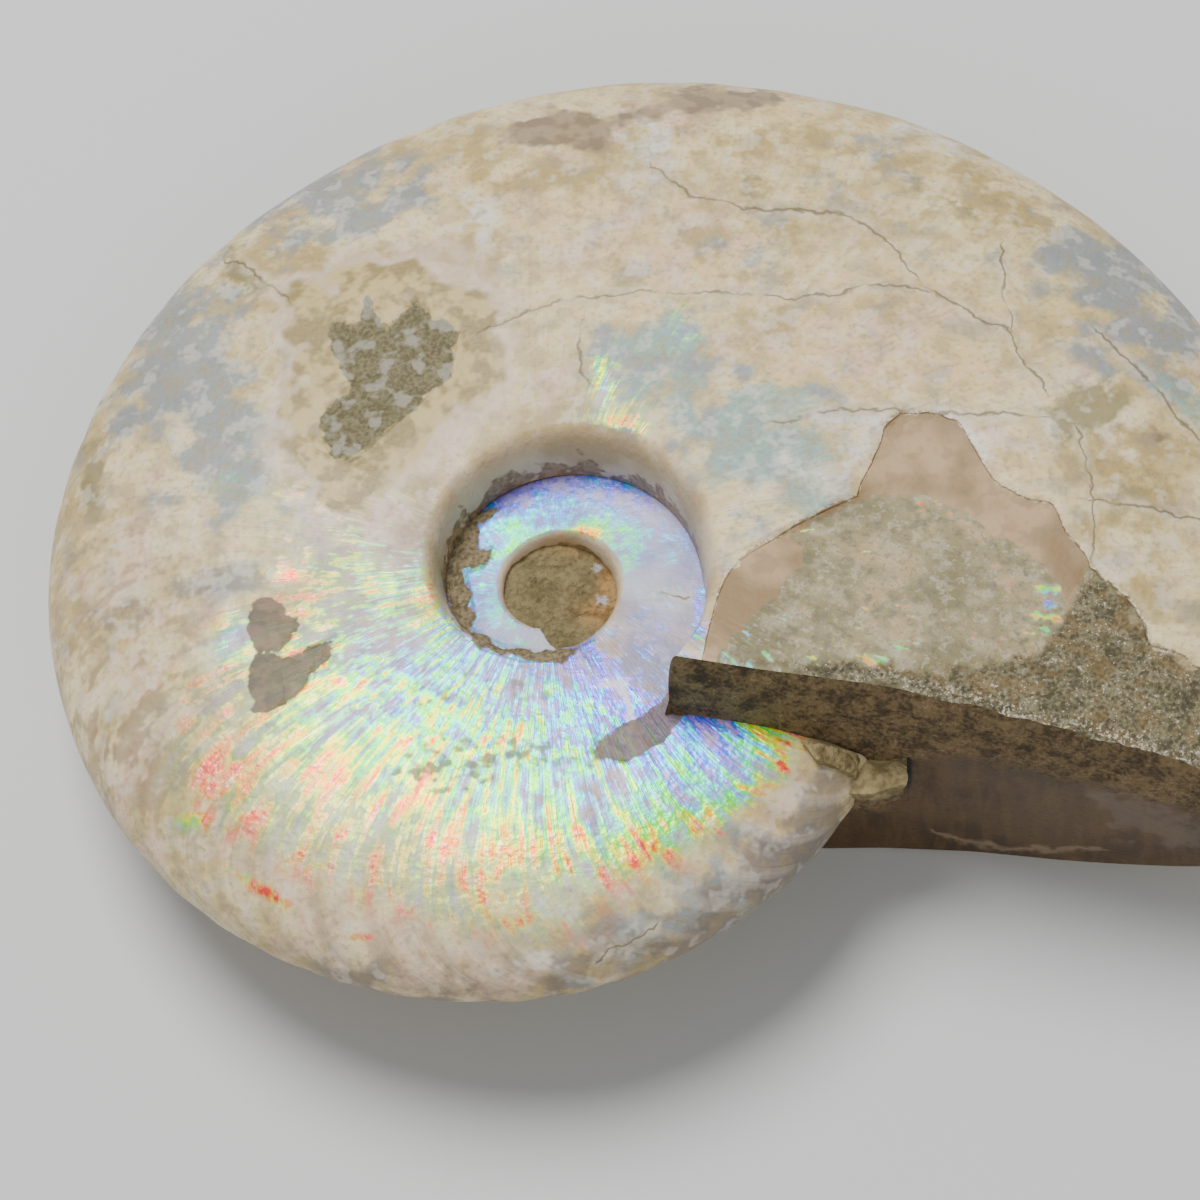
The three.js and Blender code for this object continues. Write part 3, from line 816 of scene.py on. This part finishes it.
# Whitish-blue painted glints on the stone in the umbilicus.
PAINTED_GLINTS = [(597, 567, 8, 6, 0, 1), (603, 600, 9, 7, 0, 1)]
for side in (1, -1):
    points = plug(side).reshape(-1, 3)
    faces = []
    for first in range(0, (PLUG_RINGS - 1) * PLUG_SPOKES, PLUG_SPOKES):
        for spoke in range(PLUG_SPOKES):
            a, b = first + spoke, first + (spoke + 1) % PLUG_SPOKES
            faces.append([a, a + PLUG_SPOKES, b + PLUG_SPOKES, b][::side])
    faces.append(list(range(PLUG_SPOKES))[::side])
    plug_spots = in_picture(laid_down(points * [1, 1, side]))
    keep(points, faces, STONE, {"earthy": np.full(len(points), WELL_INSIDE),
                                "ring": np.ones(len(points)),
                                "specks": soft_spots(plug_spots, *RUSTY),
                                "pale": soft_spots(plug_spots, *PAINTED_GLINTS)})
for points, faces in chunks:
    keep(points, faces, STONE, {"earthy": np.full(len(points), WELL_INSIDE),
                                "ochre": smooth(-0.8, 0.4, points[:, 2])})
points = laid_down(np.concatenate(all_points))
points = np.clip(points, np.array(CAD_BOX[0]) / MM, np.array(CAD_BOX[1]) / MM)
print("Points:", len(points), "faces:", len(all_faces))

# %% Make the mesh
CREASE = math.radians(62)
mesh = bpy.data.meshes.new("ammonite")
mesh.from_pydata((points * MM).tolist(), [], all_faces)
for name in MARK_NAMES:
    values = np.concatenate([marks[name] for marks in all_marks])
    mesh.attributes.new(name, "FLOAT", "POINT").data.foreach_set("value", values.astype(np.float32))
mesh.polygons.foreach_set("material_index", finishes)
mesh.shade_smooth()
fossil = bpy.data.objects.new("ammonite_skin", mesh)
bpy.context.scene.collection.objects.link(fossil)

bm = bmesh.new()
bm.from_mesh(mesh)
bmesh.ops.delete(bm, geom=[v for v in bm.verts if not v.link_faces], context="VERTS")
for edge in bm.edges:
    if len(edge.link_faces) == 2 and edge.calc_face_angle() > CREASE:
        edge.smooth = False
bm.to_mesh(mesh)
bm.free()
print("Triangles:", sum(len(face.vertices) - 2 for face in mesh.polygons))

# %% [markdown]
# ## Floor and light
# A plain pale floor and a large soft light from behind and above. It leaves the broken face in
# its own shade, and a weak light from the front keeps that shade open.

# %% Floor
FLOOR_HALF = 1.5
corners = [(x * FLOOR_HALF, y * FLOOR_HALF, 0) for x, y in ((-1, -1), (1, -1), (1, 1), (-1, 1))]
floor_mesh = bpy.data.meshes.new("floor")
floor_mesh.from_pydata(corners, [], [(0, 1, 2, 3)])
floor = bpy.data.objects.new("floor", floor_mesh)
bpy.context.scene.collection.objects.link(floor)
pale = bpy.data.materials.new("pale floor")
pale.use_nodes = True
bsdf = pale.node_tree.nodes["Principled BSDF"]
bsdf.inputs["Base Color"].default_value = (0.62, 0.62, 0.61, 1)
bsdf.inputs["Roughness"].default_value = 0.9
floor_mesh.materials.append(pale)
floor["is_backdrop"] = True
print("Floor under the fossil, width in metres:", 2 * FLOOR_HALF)


# %% Lights
def soft_light(name, place, size, power):
    data = bpy.data.lights.new(name, "AREA")
    data.shape, data.size, data.energy = "DISK", size, power
    lamp = bpy.data.objects.new(name, data)
    lamp.location = place
    lamp.rotation_euler = (-Vector(place)).to_track_quat("-Z", "Y").to_euler()
    bpy.context.scene.collection.objects.link(lamp)


soft_light("window behind", (-0.14, 0.27, 0.66), 0.4, 7.1)
soft_light("fill in front", (0.1, -0.6, 0.5), 0.5, 1.3)
world = bpy.data.worlds.new("studio")
world.use_nodes = True
sky = world.node_tree.nodes["Background"]
sky.inputs["Color"].default_value = (0.9, 0.95, 1, 1)
sky.inputs["Strength"].default_value = 0.34
bpy.context.scene.world = world

# %% [markdown]
# ## Values that become nodes
# A finish is a chain of shader nodes. A small class lets an output take part in sums like a
# number, so a finish reads like a recipe. Sizes in the recipes are millimetres.

# %% Shader values
def feed(tree, socket, value):
    if isinstance(value, Signal):
        tree.links.new(value.socket, socket)
    else:
        socket.default_value = value


def add_node(tree, kind, settings=None, **inputs):
    made = tree.nodes.new("ShaderNode" + kind)
    for name, value in (settings or {}).items():
        setattr(made, name, value)
    for name, value in inputs.items():
        feed(tree, made.inputs[name.replace("_", " ")], value)
    return made


class Signal:
    """An output of a shader node that can be added, multiplied or compared."""

    def __init__(self, tree, socket):
        self.tree, self.socket = tree, socket

    def worked(self, operation, *values):
        made = add_node(self.tree, "Math", {"operation": operation})
        for socket, value in zip(made.inputs, values):
            feed(self.tree, socket, value)
        return Signal(self.tree, made.outputs[0])

    def __add__(self, other):
        return self.worked("ADD", self, other)

    def __sub__(self, other):
        return self.worked("SUBTRACT", self, other)

    def __rsub__(self, other):
        return self.worked("SUBTRACT", other, self)

    def __mul__(self, other):
        return self.worked("MULTIPLY", self, other)

    def __rtruediv__(self, other):
        return self.worked("DIVIDE", other, self)

    def __abs__(self):
        return self.worked("ABSOLUTE", self)

    def most(self, other):
        return self.worked("MAXIMUM", self, other)

    def wave(self):
        return self.worked("SINE", self)

    def step(self, low, high):
        """A soft step from 0 at low to 1 at high, which may be the smaller of the two."""
        made = add_node(self.tree, "MapRange", {"interpolation_type": "SMOOTHSTEP"},
                        Value=self, From_Min=low, From_Max=high)
        return Signal(self.tree, made.outputs["Result"])

    __radd__, __rmul__ = __add__, __mul__


print("Shader values support sums, products, soft steps and waves")


# %% Colours and noise
def colour(red, green, blue):
    """A colour given as 0 to 255, in the linear light that shaders use."""
    def linear(value):
        value /= 255
        return value / 12.92 if value <= 0.04045 else ((value + 0.055) / 1.055) ** 2.4
    return (linear(red), linear(green), linear(blue), 1)


def mixed(share, first, second):
    """From the first colour, where the share is 0, to the second, where it is 1."""
    tree = share.tree
    made = add_node(tree, "Mix", {"data_type": "RGBA"})
    feed(tree, made.inputs[0], share)
    for socket, value in ((made.inputs[6], first), (made.inputs[7], second)):
        feed(tree, socket, value if isinstance(value, Signal) else colour(*value))
    return Signal(tree, made.outputs[2])


def painted(base, coats):
    """Lays coats over a base colour, each as a mask and a colour of its own."""
    for mask, coat in coats:
        base = mixed(mask, base, coat)
    return base


SEED_STEP = 0.37  # metres between the lumps of one seed and the next


def noise_at(place, size, detail=2.0, seed=0.0):
    """Lumpy noise round 0.5, with lumps of a size in mm; a seed moves it to other lumps."""
    moved = add_node(place.tree, "VectorMath", {"operation": "ADD"})
    away = seed * SEED_STEP
    feed(place.tree, moved.inputs[0], place)
    feed(place.tree, moved.inputs[1], away if isinstance(away, Signal) else [away] * 3)
    made = add_node(place.tree, "TexNoise", Vector=Signal(place.tree, moved.outputs[0]),
                    Scale=1000 / size, Detail=detail, Roughness=0.62)
    return Signal(place.tree, made.outputs["Fac"])


def place_in(tree):
    return Signal(tree, add_node(tree, "TexCoord").outputs["Object"])


print("Cream in linear light:", [round(v, 3) for v in colour(205, 192, 164)])


# %% Node groups
def new_group(name, inputs, outputs):
    """An empty node group, its inputs by name, and a function that sets one of its outputs."""
    group = bpy.data.node_groups.new(name, "ShaderNodeTree")
    group.interface.new_socket("Place", in_out="INPUT", socket_type="NodeSocketVector")
    for key, value in inputs.items():
        group.interface.new_socket(key, in_out="INPUT", socket_type="NodeSocketFloat").default_value = value
    for key in outputs:
        group.interface.new_socket(key, in_out="OUTPUT", socket_type="NodeSocketFloat")
    given, wanted = group.nodes.new("NodeGroupInput"), group.nodes.new("NodeGroupOutput")
    signals = {key: Signal(group, given.outputs[key]) for key in ["Place", *inputs]}
    return group, signals, lambda key, value: feed(group, wanted.inputs[key], value)


def use(group, place, **inputs):
    """Puts a node group to work at a place and returns its outputs by name."""
    made = add_node(place.tree, "Group", {"node_tree": group}, Place=place, **inputs)
    return {socket.name: Signal(place.tree, socket) for socket in made.outputs}


print("Groups get a place and some numbers, and give masks and heights")

# %% [markdown]
# ## Shared effects
# Both finishes need the same four effects: an edge made ragged by noise, a cloud broken into
# patches, the grain of stone, and a thin wandering line. Each is a node group, so that one
# change improves it everywhere.

# %% Ragged edge
ragged_edge, given, give = new_group("ragged edge", {"Depth": 0, "Ragged": 0.3, "Size": 1.1, "Blur": 0.07},
                                     ["Mask", "Rim"])
wander = noise_at(given["Place"], given["Size"]) - 0.5
edge_depth = given["Depth"] + wander * given["Ragged"] * 3
give("Mask", edge_depth.step(given["Blur"] * -1, given["Blur"]))
give("Rim", abs(edge_depth).step(given["Blur"] * 3, given["Blur"]))
print("Nodes in the ragged edge:", len(ragged_edge.nodes))

# %% Patches
patches, given, give = new_group("patches", {"Amount": 0, "Size": 3, "Seed": 0, "Crumbs": 0.5}, ["Mask"])
broad = noise_at(given["Place"], given["Size"], 1, given["Seed"]) - 0.5
spread = given["Amount"] + broad * 2.6 + (given["Crumbs"] - 0.5) * 0.9
give("Mask", spread.step(0.2, 0.78) * given["Amount"].step(0, 0.2))
print("Nodes in the patches:", len(patches.nodes))

# %% Stone grain
stone_grain, given, give = new_group("stone grain", {"Size": 0.3}, ["Tone", "Glitter", "Height"])
fine = noise_at(given["Place"], given["Size"])
coarse = noise_at(given["Place"], given["Size"] * 4)
sparks = noise_at(given["Place"], given["Size"] * 0.6, 1, seed=3)
give("Tone", (fine * 0.6 + coarse * 0.4).step(0.36, 0.64))
give("Glitter", (sparks + coarse * 0.5).step(0.9, 1.02))
give("Height", fine + coarse * 0.8)
print("Nodes in the stone grain:", len(stone_grain.nodes))

# %% Thin line
thin_line, given, give = new_group("thin line", {"Beside": 0, "Near": 0, "Width": 0.08, "Wobble": 1},
                                   ["Mask", "Lip_highlight"])
wobble = (noise_at(given["Place"], 1.4) - 0.5) * given["Wobble"]
from_line = abs(given["Beside"] + wobble)
strength = given["Near"] * noise_at(given["Place"], 2.5, 1, 5).step(0.25, 0.48)
give("Mask", from_line.step(given["Width"], 0) * strength)
# The wider band beside the line is used for painted highlights along crack lips.
give("Lip_highlight", from_line.step(given["Width"] * 5, given["Width"]) * strength)
print("Nodes in the thin line:", len(thin_line.nodes))


# %% Edges and lines of the marks
@functools.cache
def mark(tree, name):
    """A mark of the net as a shader value, read once in each material."""
    return Signal(tree, add_node(tree, "Attribute", {"attribute_name": name}).outputs["Fac"])


def edged(spot, name, ragged, size, blur, reach=0.0):
    """A mark with a ragged edge, moved outwards by a reach in mm."""
    depth = mark(spot.tree, name)
    depth = depth + reach if reach else depth
    return use(ragged_edge, spot, Depth=depth, Ragged=ragged, Size=size, Blur=blur)


def drawn(spot, name, width, wobble=1.0):
    """One of the lines of the net, with a width in mm."""
    beside_line, near_line = mark(spot.tree, name), mark(spot.tree, name + "_near")
    return use(thin_line, spot, Beside=beside_line, Near=near_line, Width=width, Wobble=wobble)


print("Marks that a finish can use:", len(MARK_NAMES))

# %% [markdown]
# ## Pearly shell
# The shell is cream and matt where it is weathered, with clouds of other tints broken into
# patches. Ribs show as faint bands, with painted shade in their grooves and painted highlight on
# their crests, and growth lines as faint darker bands. First comes this plain part of the finish.

# %% Weathered shell
shell = bpy.data.materials.new("pearly shell")
shell.use_nodes = True
tree = shell.node_tree
spot, growth, outward = place_in(tree), mark(tree, "growth"), mark(tree, "outward")
broad, middle, fine = noise_at(spot, 6), noise_at(spot, 1.6), noise_at(spot, 0.4)


def growth_noise(lines, across, seed):
    """Noise drawn out along the growth lines, with so many lines for each radian of growth."""
    along = add_node(tree, "CombineXYZ", X=growth * lines, Y=outward * across, Z=seed * 7.0)
    made = add_node(tree, "TexNoise", Vector=Signal(tree, along.outputs[0]),
                    Scale=1.0, Detail=2.0, Roughness=0.6)
    return Signal(tree, made.outputs["Fac"])


TINTS = {
    "tan": (220, 190, 132), "pink": (218, 184, 156), "ochre": (168, 142, 80),
    "blue_grey": (118, 134, 146), "teal": (136, 168, 154), "pale": (222, 216, 204),
    "olive": (122, 113, 72), "rim_shade_and_grey": (118, 106, 96),
}
base = mixed(broad.step(0.38, 0.62), (196, 172, 114), (226, 206, 154))
crumbs = noise_at(spot, 0.75, seed=4)
for seed, (name, tint) in enumerate(TINTS.items()):
    amount = mark(tree, name) + (0.1 if name in ("ochre", "blue_grey", "pink") else 0)
    cloud = use(patches, spot, Amount=amount, Size=3.0, Seed=seed, Crumbs=crumbs)["Mask"]
    base = mixed(cloud * 0.8, base, tint)
stripes = growth_noise(17, 2.2, 9) + (middle - 0.5) * 0.5
fine_lines = growth_noise(95, 1.6, 0)
rib = (growth * RIBS_PER_TURN).wave() * mark(tree, "ribbed")
base = painted(base, [
    (middle.step(0.5, 0.64) * 0.4, (164, 144, 102)),
    (middle.step(0.48, 0.36) * 0.35, (226, 216, 196)),
    (fine.step(0.52, 0.7) * 0.35, (138, 122, 90)),
    (stripes.step(0.48, 0.6) * mark(tree, "striped") * 0.7, (142, 118, 88)),
    (stripes.step(0.44, 0.32) * mark(tree, "striped") * 0.4, (208, 202, 186)),
    (fine_lines.step(0.5, 0.68) * 0.16, (138, 124, 104)),
    # Darker in the rib grooves and lighter on the crests: painted shade and painted highlight.
    (rib.step(-0.1, -0.9) * 0.28, (140, 124, 106)),
    (rib.step(0.2, 1) * 0.22, (222, 206, 186)),
])
print("Tints of the weathered shell:", list(TINTS))

# %% [markdown]
# Fresh pearl is a stack of thin layers. Their spacing decides which colour they throw back, so
# the hue changes over the shell and from one growth line to the next. Its strength is painted by
# place as a painted reflection, strongest in the sector where the lamp's reflection falls.

# %% Painted reflection of the pearl
HUES = [(0, (124, 96, 255)), (0.15, (50, 112, 255)), (0.29, (0, 206, 255)), (0.42, (0, 250, 160)),
        (0.54, (80, 255, 40)), (0.67, (240, 244, 10)), (0.8, (255, 182, 0)), (0.91, (255, 130, 20)),
        (1, (255, 78, 60))]
ramp = add_node(tree, "ValToRGB")
while len(ramp.color_ramp.elements) < len(HUES):
    ramp.color_ramp.elements.new(0.5)
for element, (at, tint) in zip(ramp.color_ramp.elements, HUES):
    element.position, element.color = at, colour(*tint)
reflection, ring = mark(tree, "reflection"), mark(tree, "ring")
lined = 1 - ring * 0.75
streaks, thin_streaks = (growth_noise(25, 4, 1) - 0.5) * lined, (growth_noise(62, 7, 2) - 0.5) * lined
flecks, pools = noise_at(spot, 0.9, seed=4) - 0.5, noise_at(spot, 3.2, seed=6) - 0.5
swing = streaks * 2.1 + thin_streaks * 0.7 + flecks * 0.7 + pools * 1.1
feed(tree, ramp.inputs["Fac"], (mark(tree, "hue") + swing) * 0.88)
cover = reflection + streaks * 2 + thin_streaks * 1.4 + flecks * 1.8 + pools * 1.8
broken_up = cover.step(0.35, 0.65) * 0.4 + cover.step(0.75, 1.05) * 0.3
shown = reflection.step(0, 0.8) * 0.3 + broken_up * reflection.step(0.05, 0.4)
pearl_colour = painted(Signal(tree, ramp.outputs["Color"]), [
    ((streaks * 0.4 + flecks * 0.6).step(-0.02, -0.16) * 0.4, (146, 150, 136)),
    # Near-white painted highlights along the thin streaks of the pearl.
    ((thin_streaks * 0.6 + fine * 0.5).step(0.28, 0.38) * 0.4, (248, 252, 246)),
])
base = painted(base, [
    (ring * 0.85, mixed(broad.step(0.4, 0.6), (146, 152, 190), (186, 188, 206))),
    (shown, pearl_colour),
])
print("Hues from violet to red:", len(HUES))

# %% [markdown]
# The wall of the umbilicus is grey-brown, with soil left in the seam. Cracks and specks lie over
# the tints, and the cracks' lips get a paler painted highlight. Stone and lining show where the
# shell has flaked off, and come last, because what is gone takes everything above it along.

# %% Umbilicus, cracks and specks
cracked = [drawn(spot, "long_crack", 0.17), drawn(spot, "side_crack", 0.13)]
lip_highlights, cracks = (cracked[0][key].most(cracked[1][key]) for key in ("Lip_highlight", "Mask"))
scratch = drawn(spot, "scratch", 0.5, 1.5)["Mask"]
specks = use(patches, spot, Amount=mark(tree, "specks") * 0.5, Size=0.9, Seed=7, Crumbs=fine)["Mask"]
soil = (outward + (middle - 0.5)).step(0.2, 0.1)
pink_rim = edged(spot, "stone_patch", 1.8, 3.0, 0.8, reach=3.6)["Mask"]
halo = edged(spot, "stone_patch", 1.8, 3.0, 0.5, reach=2.5)["Mask"]
base = painted(base, [
    (outward.step(0.98, 0.62) * 0.85, mixed(broad.step(0.4, 0.6), (186, 158, 122), (212, 190, 162))),
    (soil * 0.9, mixed(fine.step(0.4, 0.6), (126, 102, 64), (160, 134, 92))),
    (pink_rim * 0.6, (216, 190, 172)),
    (halo * 0.95, mixed(middle.step(0.4, 0.6), (142, 122, 66), (194, 172, 112))),
    # Paler painted highlight along the crack lips, broken by noise with a darker brown.
    (lip_highlights * 0.4, mixed(middle.step(0.42, 0.58), (150, 130, 84), (226, 214, 188))),
    (cracks * 0.8, (92, 78, 50)),
    (scratch * 0.9, (240, 236, 228)),
    (specks * 0.75, (116, 102, 80)),
])
print("Nodes with soil, halo, cracks and specks:", len(tree.nodes))

# %% Stone and lining under the shell
grain = use(stone_grain, spot, Size=0.28)
near_lip = mark(tree, "lip_near") * middle.step(0.38, 0.56) * noise_at(spot, 0.24, seed=5).step(0.53, 0.62)
stroke = (growth_noise(16, 4, 8) - 0.5) * 0.8
stone = painted(mixed(grain["Tone"] * 0.9, (72, 66, 44), (134, 124, 94)), [
    (middle.step(0.52, 0.6) * 0.45, (120, 96, 58)),
    (middle.step(0.46, 0.36) * 0.6, (66, 60, 42)),
    (grain["Glitter"].most(near_lip) * 0.7, (210, 204, 188)),
])
lining = painted(mixed(broad.step(0.38, 0.62), (142, 115, 77), (180, 151, 113)), [
    (middle.step(0.5, 0.62) * 0.4, (136, 112, 80)),
])
olive = painted(mixed(broad.step(0.4, 0.6), (124, 113, 74), (152, 138, 98)), [
    ((stroke + middle).step(0.48, 0.7) * 0.5, (188, 174, 146)),
    ((stroke + flecks + 0.5).step(0.46, 0.3) * 0.55, (106, 102, 84)),
    ((flecks * 1.2 + fine).step(0.56, 0.66) * 0.45, (196, 186, 164)),
    ((broad + flecks * 0.5).step(0.55, 0.66) * 0.5, (184, 154, 106)),
    (fine.step(0.5, 0.64) * 0.5, (98, 88, 58)),
])
pitted = painted(mixed(grain["Tone"] * 0.7, (94, 86, 58), (138, 129, 98)), [
    (middle.step(0.5, 0.62) * 0.6, (172, 166, 150)),
])
print("Nodes so far:", len(tree.nodes))

# %% Flaked edges
# Raggedness, size of the lumps and blur, all in mm
EDGES = {
    "flaked": (0.2, 1.4, 0.04), "bare_stone": (0.35, 1.2, 0.08), "deep_stone": (0.9, 2, 0.3),
    "stone_patch": (0.5, 1.2, 0.1), "brown_chips_and_notch_shade": (0.35, 1.2, 0.08), "earthy": (0.45, 1.1, 0.1),
    "brown_patch": (1.1, 2.2, 0.35),
}
edges = {name: edged(spot, name, *shape) for name, shape in EDGES.items()}
flaked, bare, deep, patch, chips, earthy, stained = (edges[name]["Mask"] for name in EDGES)
inner = painted(mixed(bare, lining, olive), [
    (cover.step(0.55, 0.9) * bare * 0.7, pearl_colour),
    (deep, stone),
])
base = painted(base, [
    # Edge of the flaked shell: pale cream where its thickness shows, mixed by noise with a darker brown
    # that is painted shadow.
    (edges["flaked"]["Rim"] * 0.7, mixed(fine.step(0.45, 0.55), (120, 98, 66), (218, 203, 174))),
    (flaked, inner),
    (patch, pitted),
    (chips * 0.92, mixed(middle.step(0.4, 0.6), (90, 71, 52), (124, 103, 82))),
    (stained * 0.85, mixed(middle.step(0.4, 0.6), (114, 95, 72), (152, 131, 103))),
    (earthy, mixed(grain["Tone"], (88, 77, 52), (138, 122, 90))),
])
print("Ragged edges:", list(EDGES))

# %% Shine and bumps of the shell
bsdf = tree.nodes["Principled BSDF"]
gone = flaked.most(patch).most(chips.most(earthy)).most(specks * 0.8)
stony = (deep * flaked).most(patch.most(earthy))
feed(tree, bsdf.inputs["Base Color"], base)
feed(tree, bsdf.inputs["Roughness"], 0.42 + middle * 0.2 - shown * 0.15 + gone * 0.12 + stony * 0.25)
feed(tree, bsdf.inputs["Metallic"], (1 - gone) * shown * (1 - scratch) * 0.5)
feed(tree, bsdf.inputs["Coat Weight"], (1 - gone) * (0.08 + shown * 0.12))
bsdf.inputs["Coat Roughness"].default_value = 0.22
rough = (mark(tree, "deep_stone") + 0.1).step(-0.3, 0.3).most(mark(tree, "stone_patch").step(-0.2, 0.2))
rough = rough.most(mark(tree, "earthy").step(-0.2, 0.2))
height = mark(tree, "flaked").step(-0.05, 0.05) * -0.1 + grain["Height"] * rough * 0.16
height = height + (fine_lines + thin_streaks) * 0.03 + middle * 0.09 + fine * 0.045
bump = add_node(tree, "Bump", Height=height, Strength=1.0, Distance=MM)
feed(tree, bsdf.inputs["Normal"], Signal(tree, bump.outputs["Normal"]))
print("Nodes in the pearly shell:", len(tree.nodes))

# %% [markdown]
# ## Broken stone
# Hardened sediment fills the chambers: brown, grainy and quite matt. Below the grainy band the
# face is the smooth cast of a chamber wall, a little satin, with faint upright streaks.

# %% Broken stone
broken = bpy.data.materials.new("broken stone")
broken.use_nodes = True
tree = broken.node_tree
bsdf = tree.nodes["Principled BSDF"]
spot = place_in(tree)
broad, middle, fine = noise_at(spot, 5), noise_at(spot, 1.4), noise_at(spot, 0.35)
grain = use(stone_grain, spot, Size=0.3)
upright = add_node(tree, "Mapping", {"vector_type": "POINT"}, Vector=spot, Scale=(1, 1, 0.12))
streaky = noise_at(Signal(tree, upright.outputs["Vector"]), 0.8, 3)
band = edged(spot, "earthy", 0.8, 1.6, 0.7, reach=0.3)["Mask"]
gritty = painted(mixed(grain["Tone"], (72, 55, 32), (120, 98, 64)), [
    (middle.step(0.5, 0.62) * 0.5, (140, 116, 78)),
    (middle.step(0.44, 0.34) * 0.6, (52, 38, 22)),
    (grain["Glitter"] * 0.4, (170, 152, 120)),
])
cast = painted(mixed(broad.step(0.38, 0.62), (66, 46, 20), (86, 62, 32)), [
    (streaky.step(0.42, 0.64) * 0.45, (104, 78, 42)),
    (fine.step(0.52, 0.66) * 0.4, (52, 39, 24)),
])
print("Nodes so far:", len(tree.nodes))

# %% Clay of the lump and the umbilicus
clay = painted(mixed((middle * 0.6 + fine * 0.4).step(0.32, 0.68), (92, 82, 50), (128, 114, 78)), [
    (mark(tree, "specks") * 0.8, mixed(middle.step(0.4, 0.6), (124, 88, 42), (172, 130, 74))),
    (mark(tree, "ochre") * 0.5, mixed(middle.step(0.4, 0.6), (136, 118, 76), (190, 170, 122))),
])
in_clay = mark(tree, "ochre").most(mark(tree, "ring"))
# On the plug the pale mark holds the painted glints, so the white patches and whitish-blue spots there are
# painted highlights; on the face it holds real whitish smears.
white = use(patches, spot, Amount=mark(tree, "pale"), Size=1.6, Seed=2, Crumbs=fine)["Mask"]
painted_glints = (mark(tree, "pale") * mark(tree, "ring") + (fine - 0.5) * 1.6).step(0.45, 0.95)
face = painted(mixed(band, cast, gritty), [
    (in_clay, clay),
    (white * 0.3, (132, 118, 104)),
    (painted_glints * 0.7, (180, 180, 186)),
    (drawn(spot, "long_crack", 0.28)["Mask"] * 0.45, (166, 140, 112)),
    # Near-black painted shade in the notch beside the lump.
    (edged(spot, "brown_chips_and_notch_shade", 0.15, 1, 0.12)["Mask"], (24, 18, 11)),
])
feed(tree, bsdf.inputs["Base Color"], face)
feed(tree, bsdf.inputs["Roughness"], 0.5 + band * 0.35)
height = grain["Height"] * (band * 0.2 + 0.03) + streaky * 0.04
bump = add_node(tree, "Bump", Height=height, Strength=1.0, Distance=MM)
feed(tree, bsdf.inputs["Normal"], Signal(tree, bump.outputs["Normal"]))
print("Nodes in the broken stone:", len(tree.nodes))

# %% [markdown]
# ## Put it in its place
# The skin stands for the plain solid and rides on the same body. Its box must match the solid's.

# %% Finish
mesh.materials.append(shell)
mesh.materials.append(broken)
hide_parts("ammonite")
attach(fossil, "root")
LOOK_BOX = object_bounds()
for name, box in (("Plain solid:", CAD_BOX), ("Fine skin:", LOOK_BOX)):
    print(name, [tuple(round(v / MM, 2) for v in corner) for corner in box])
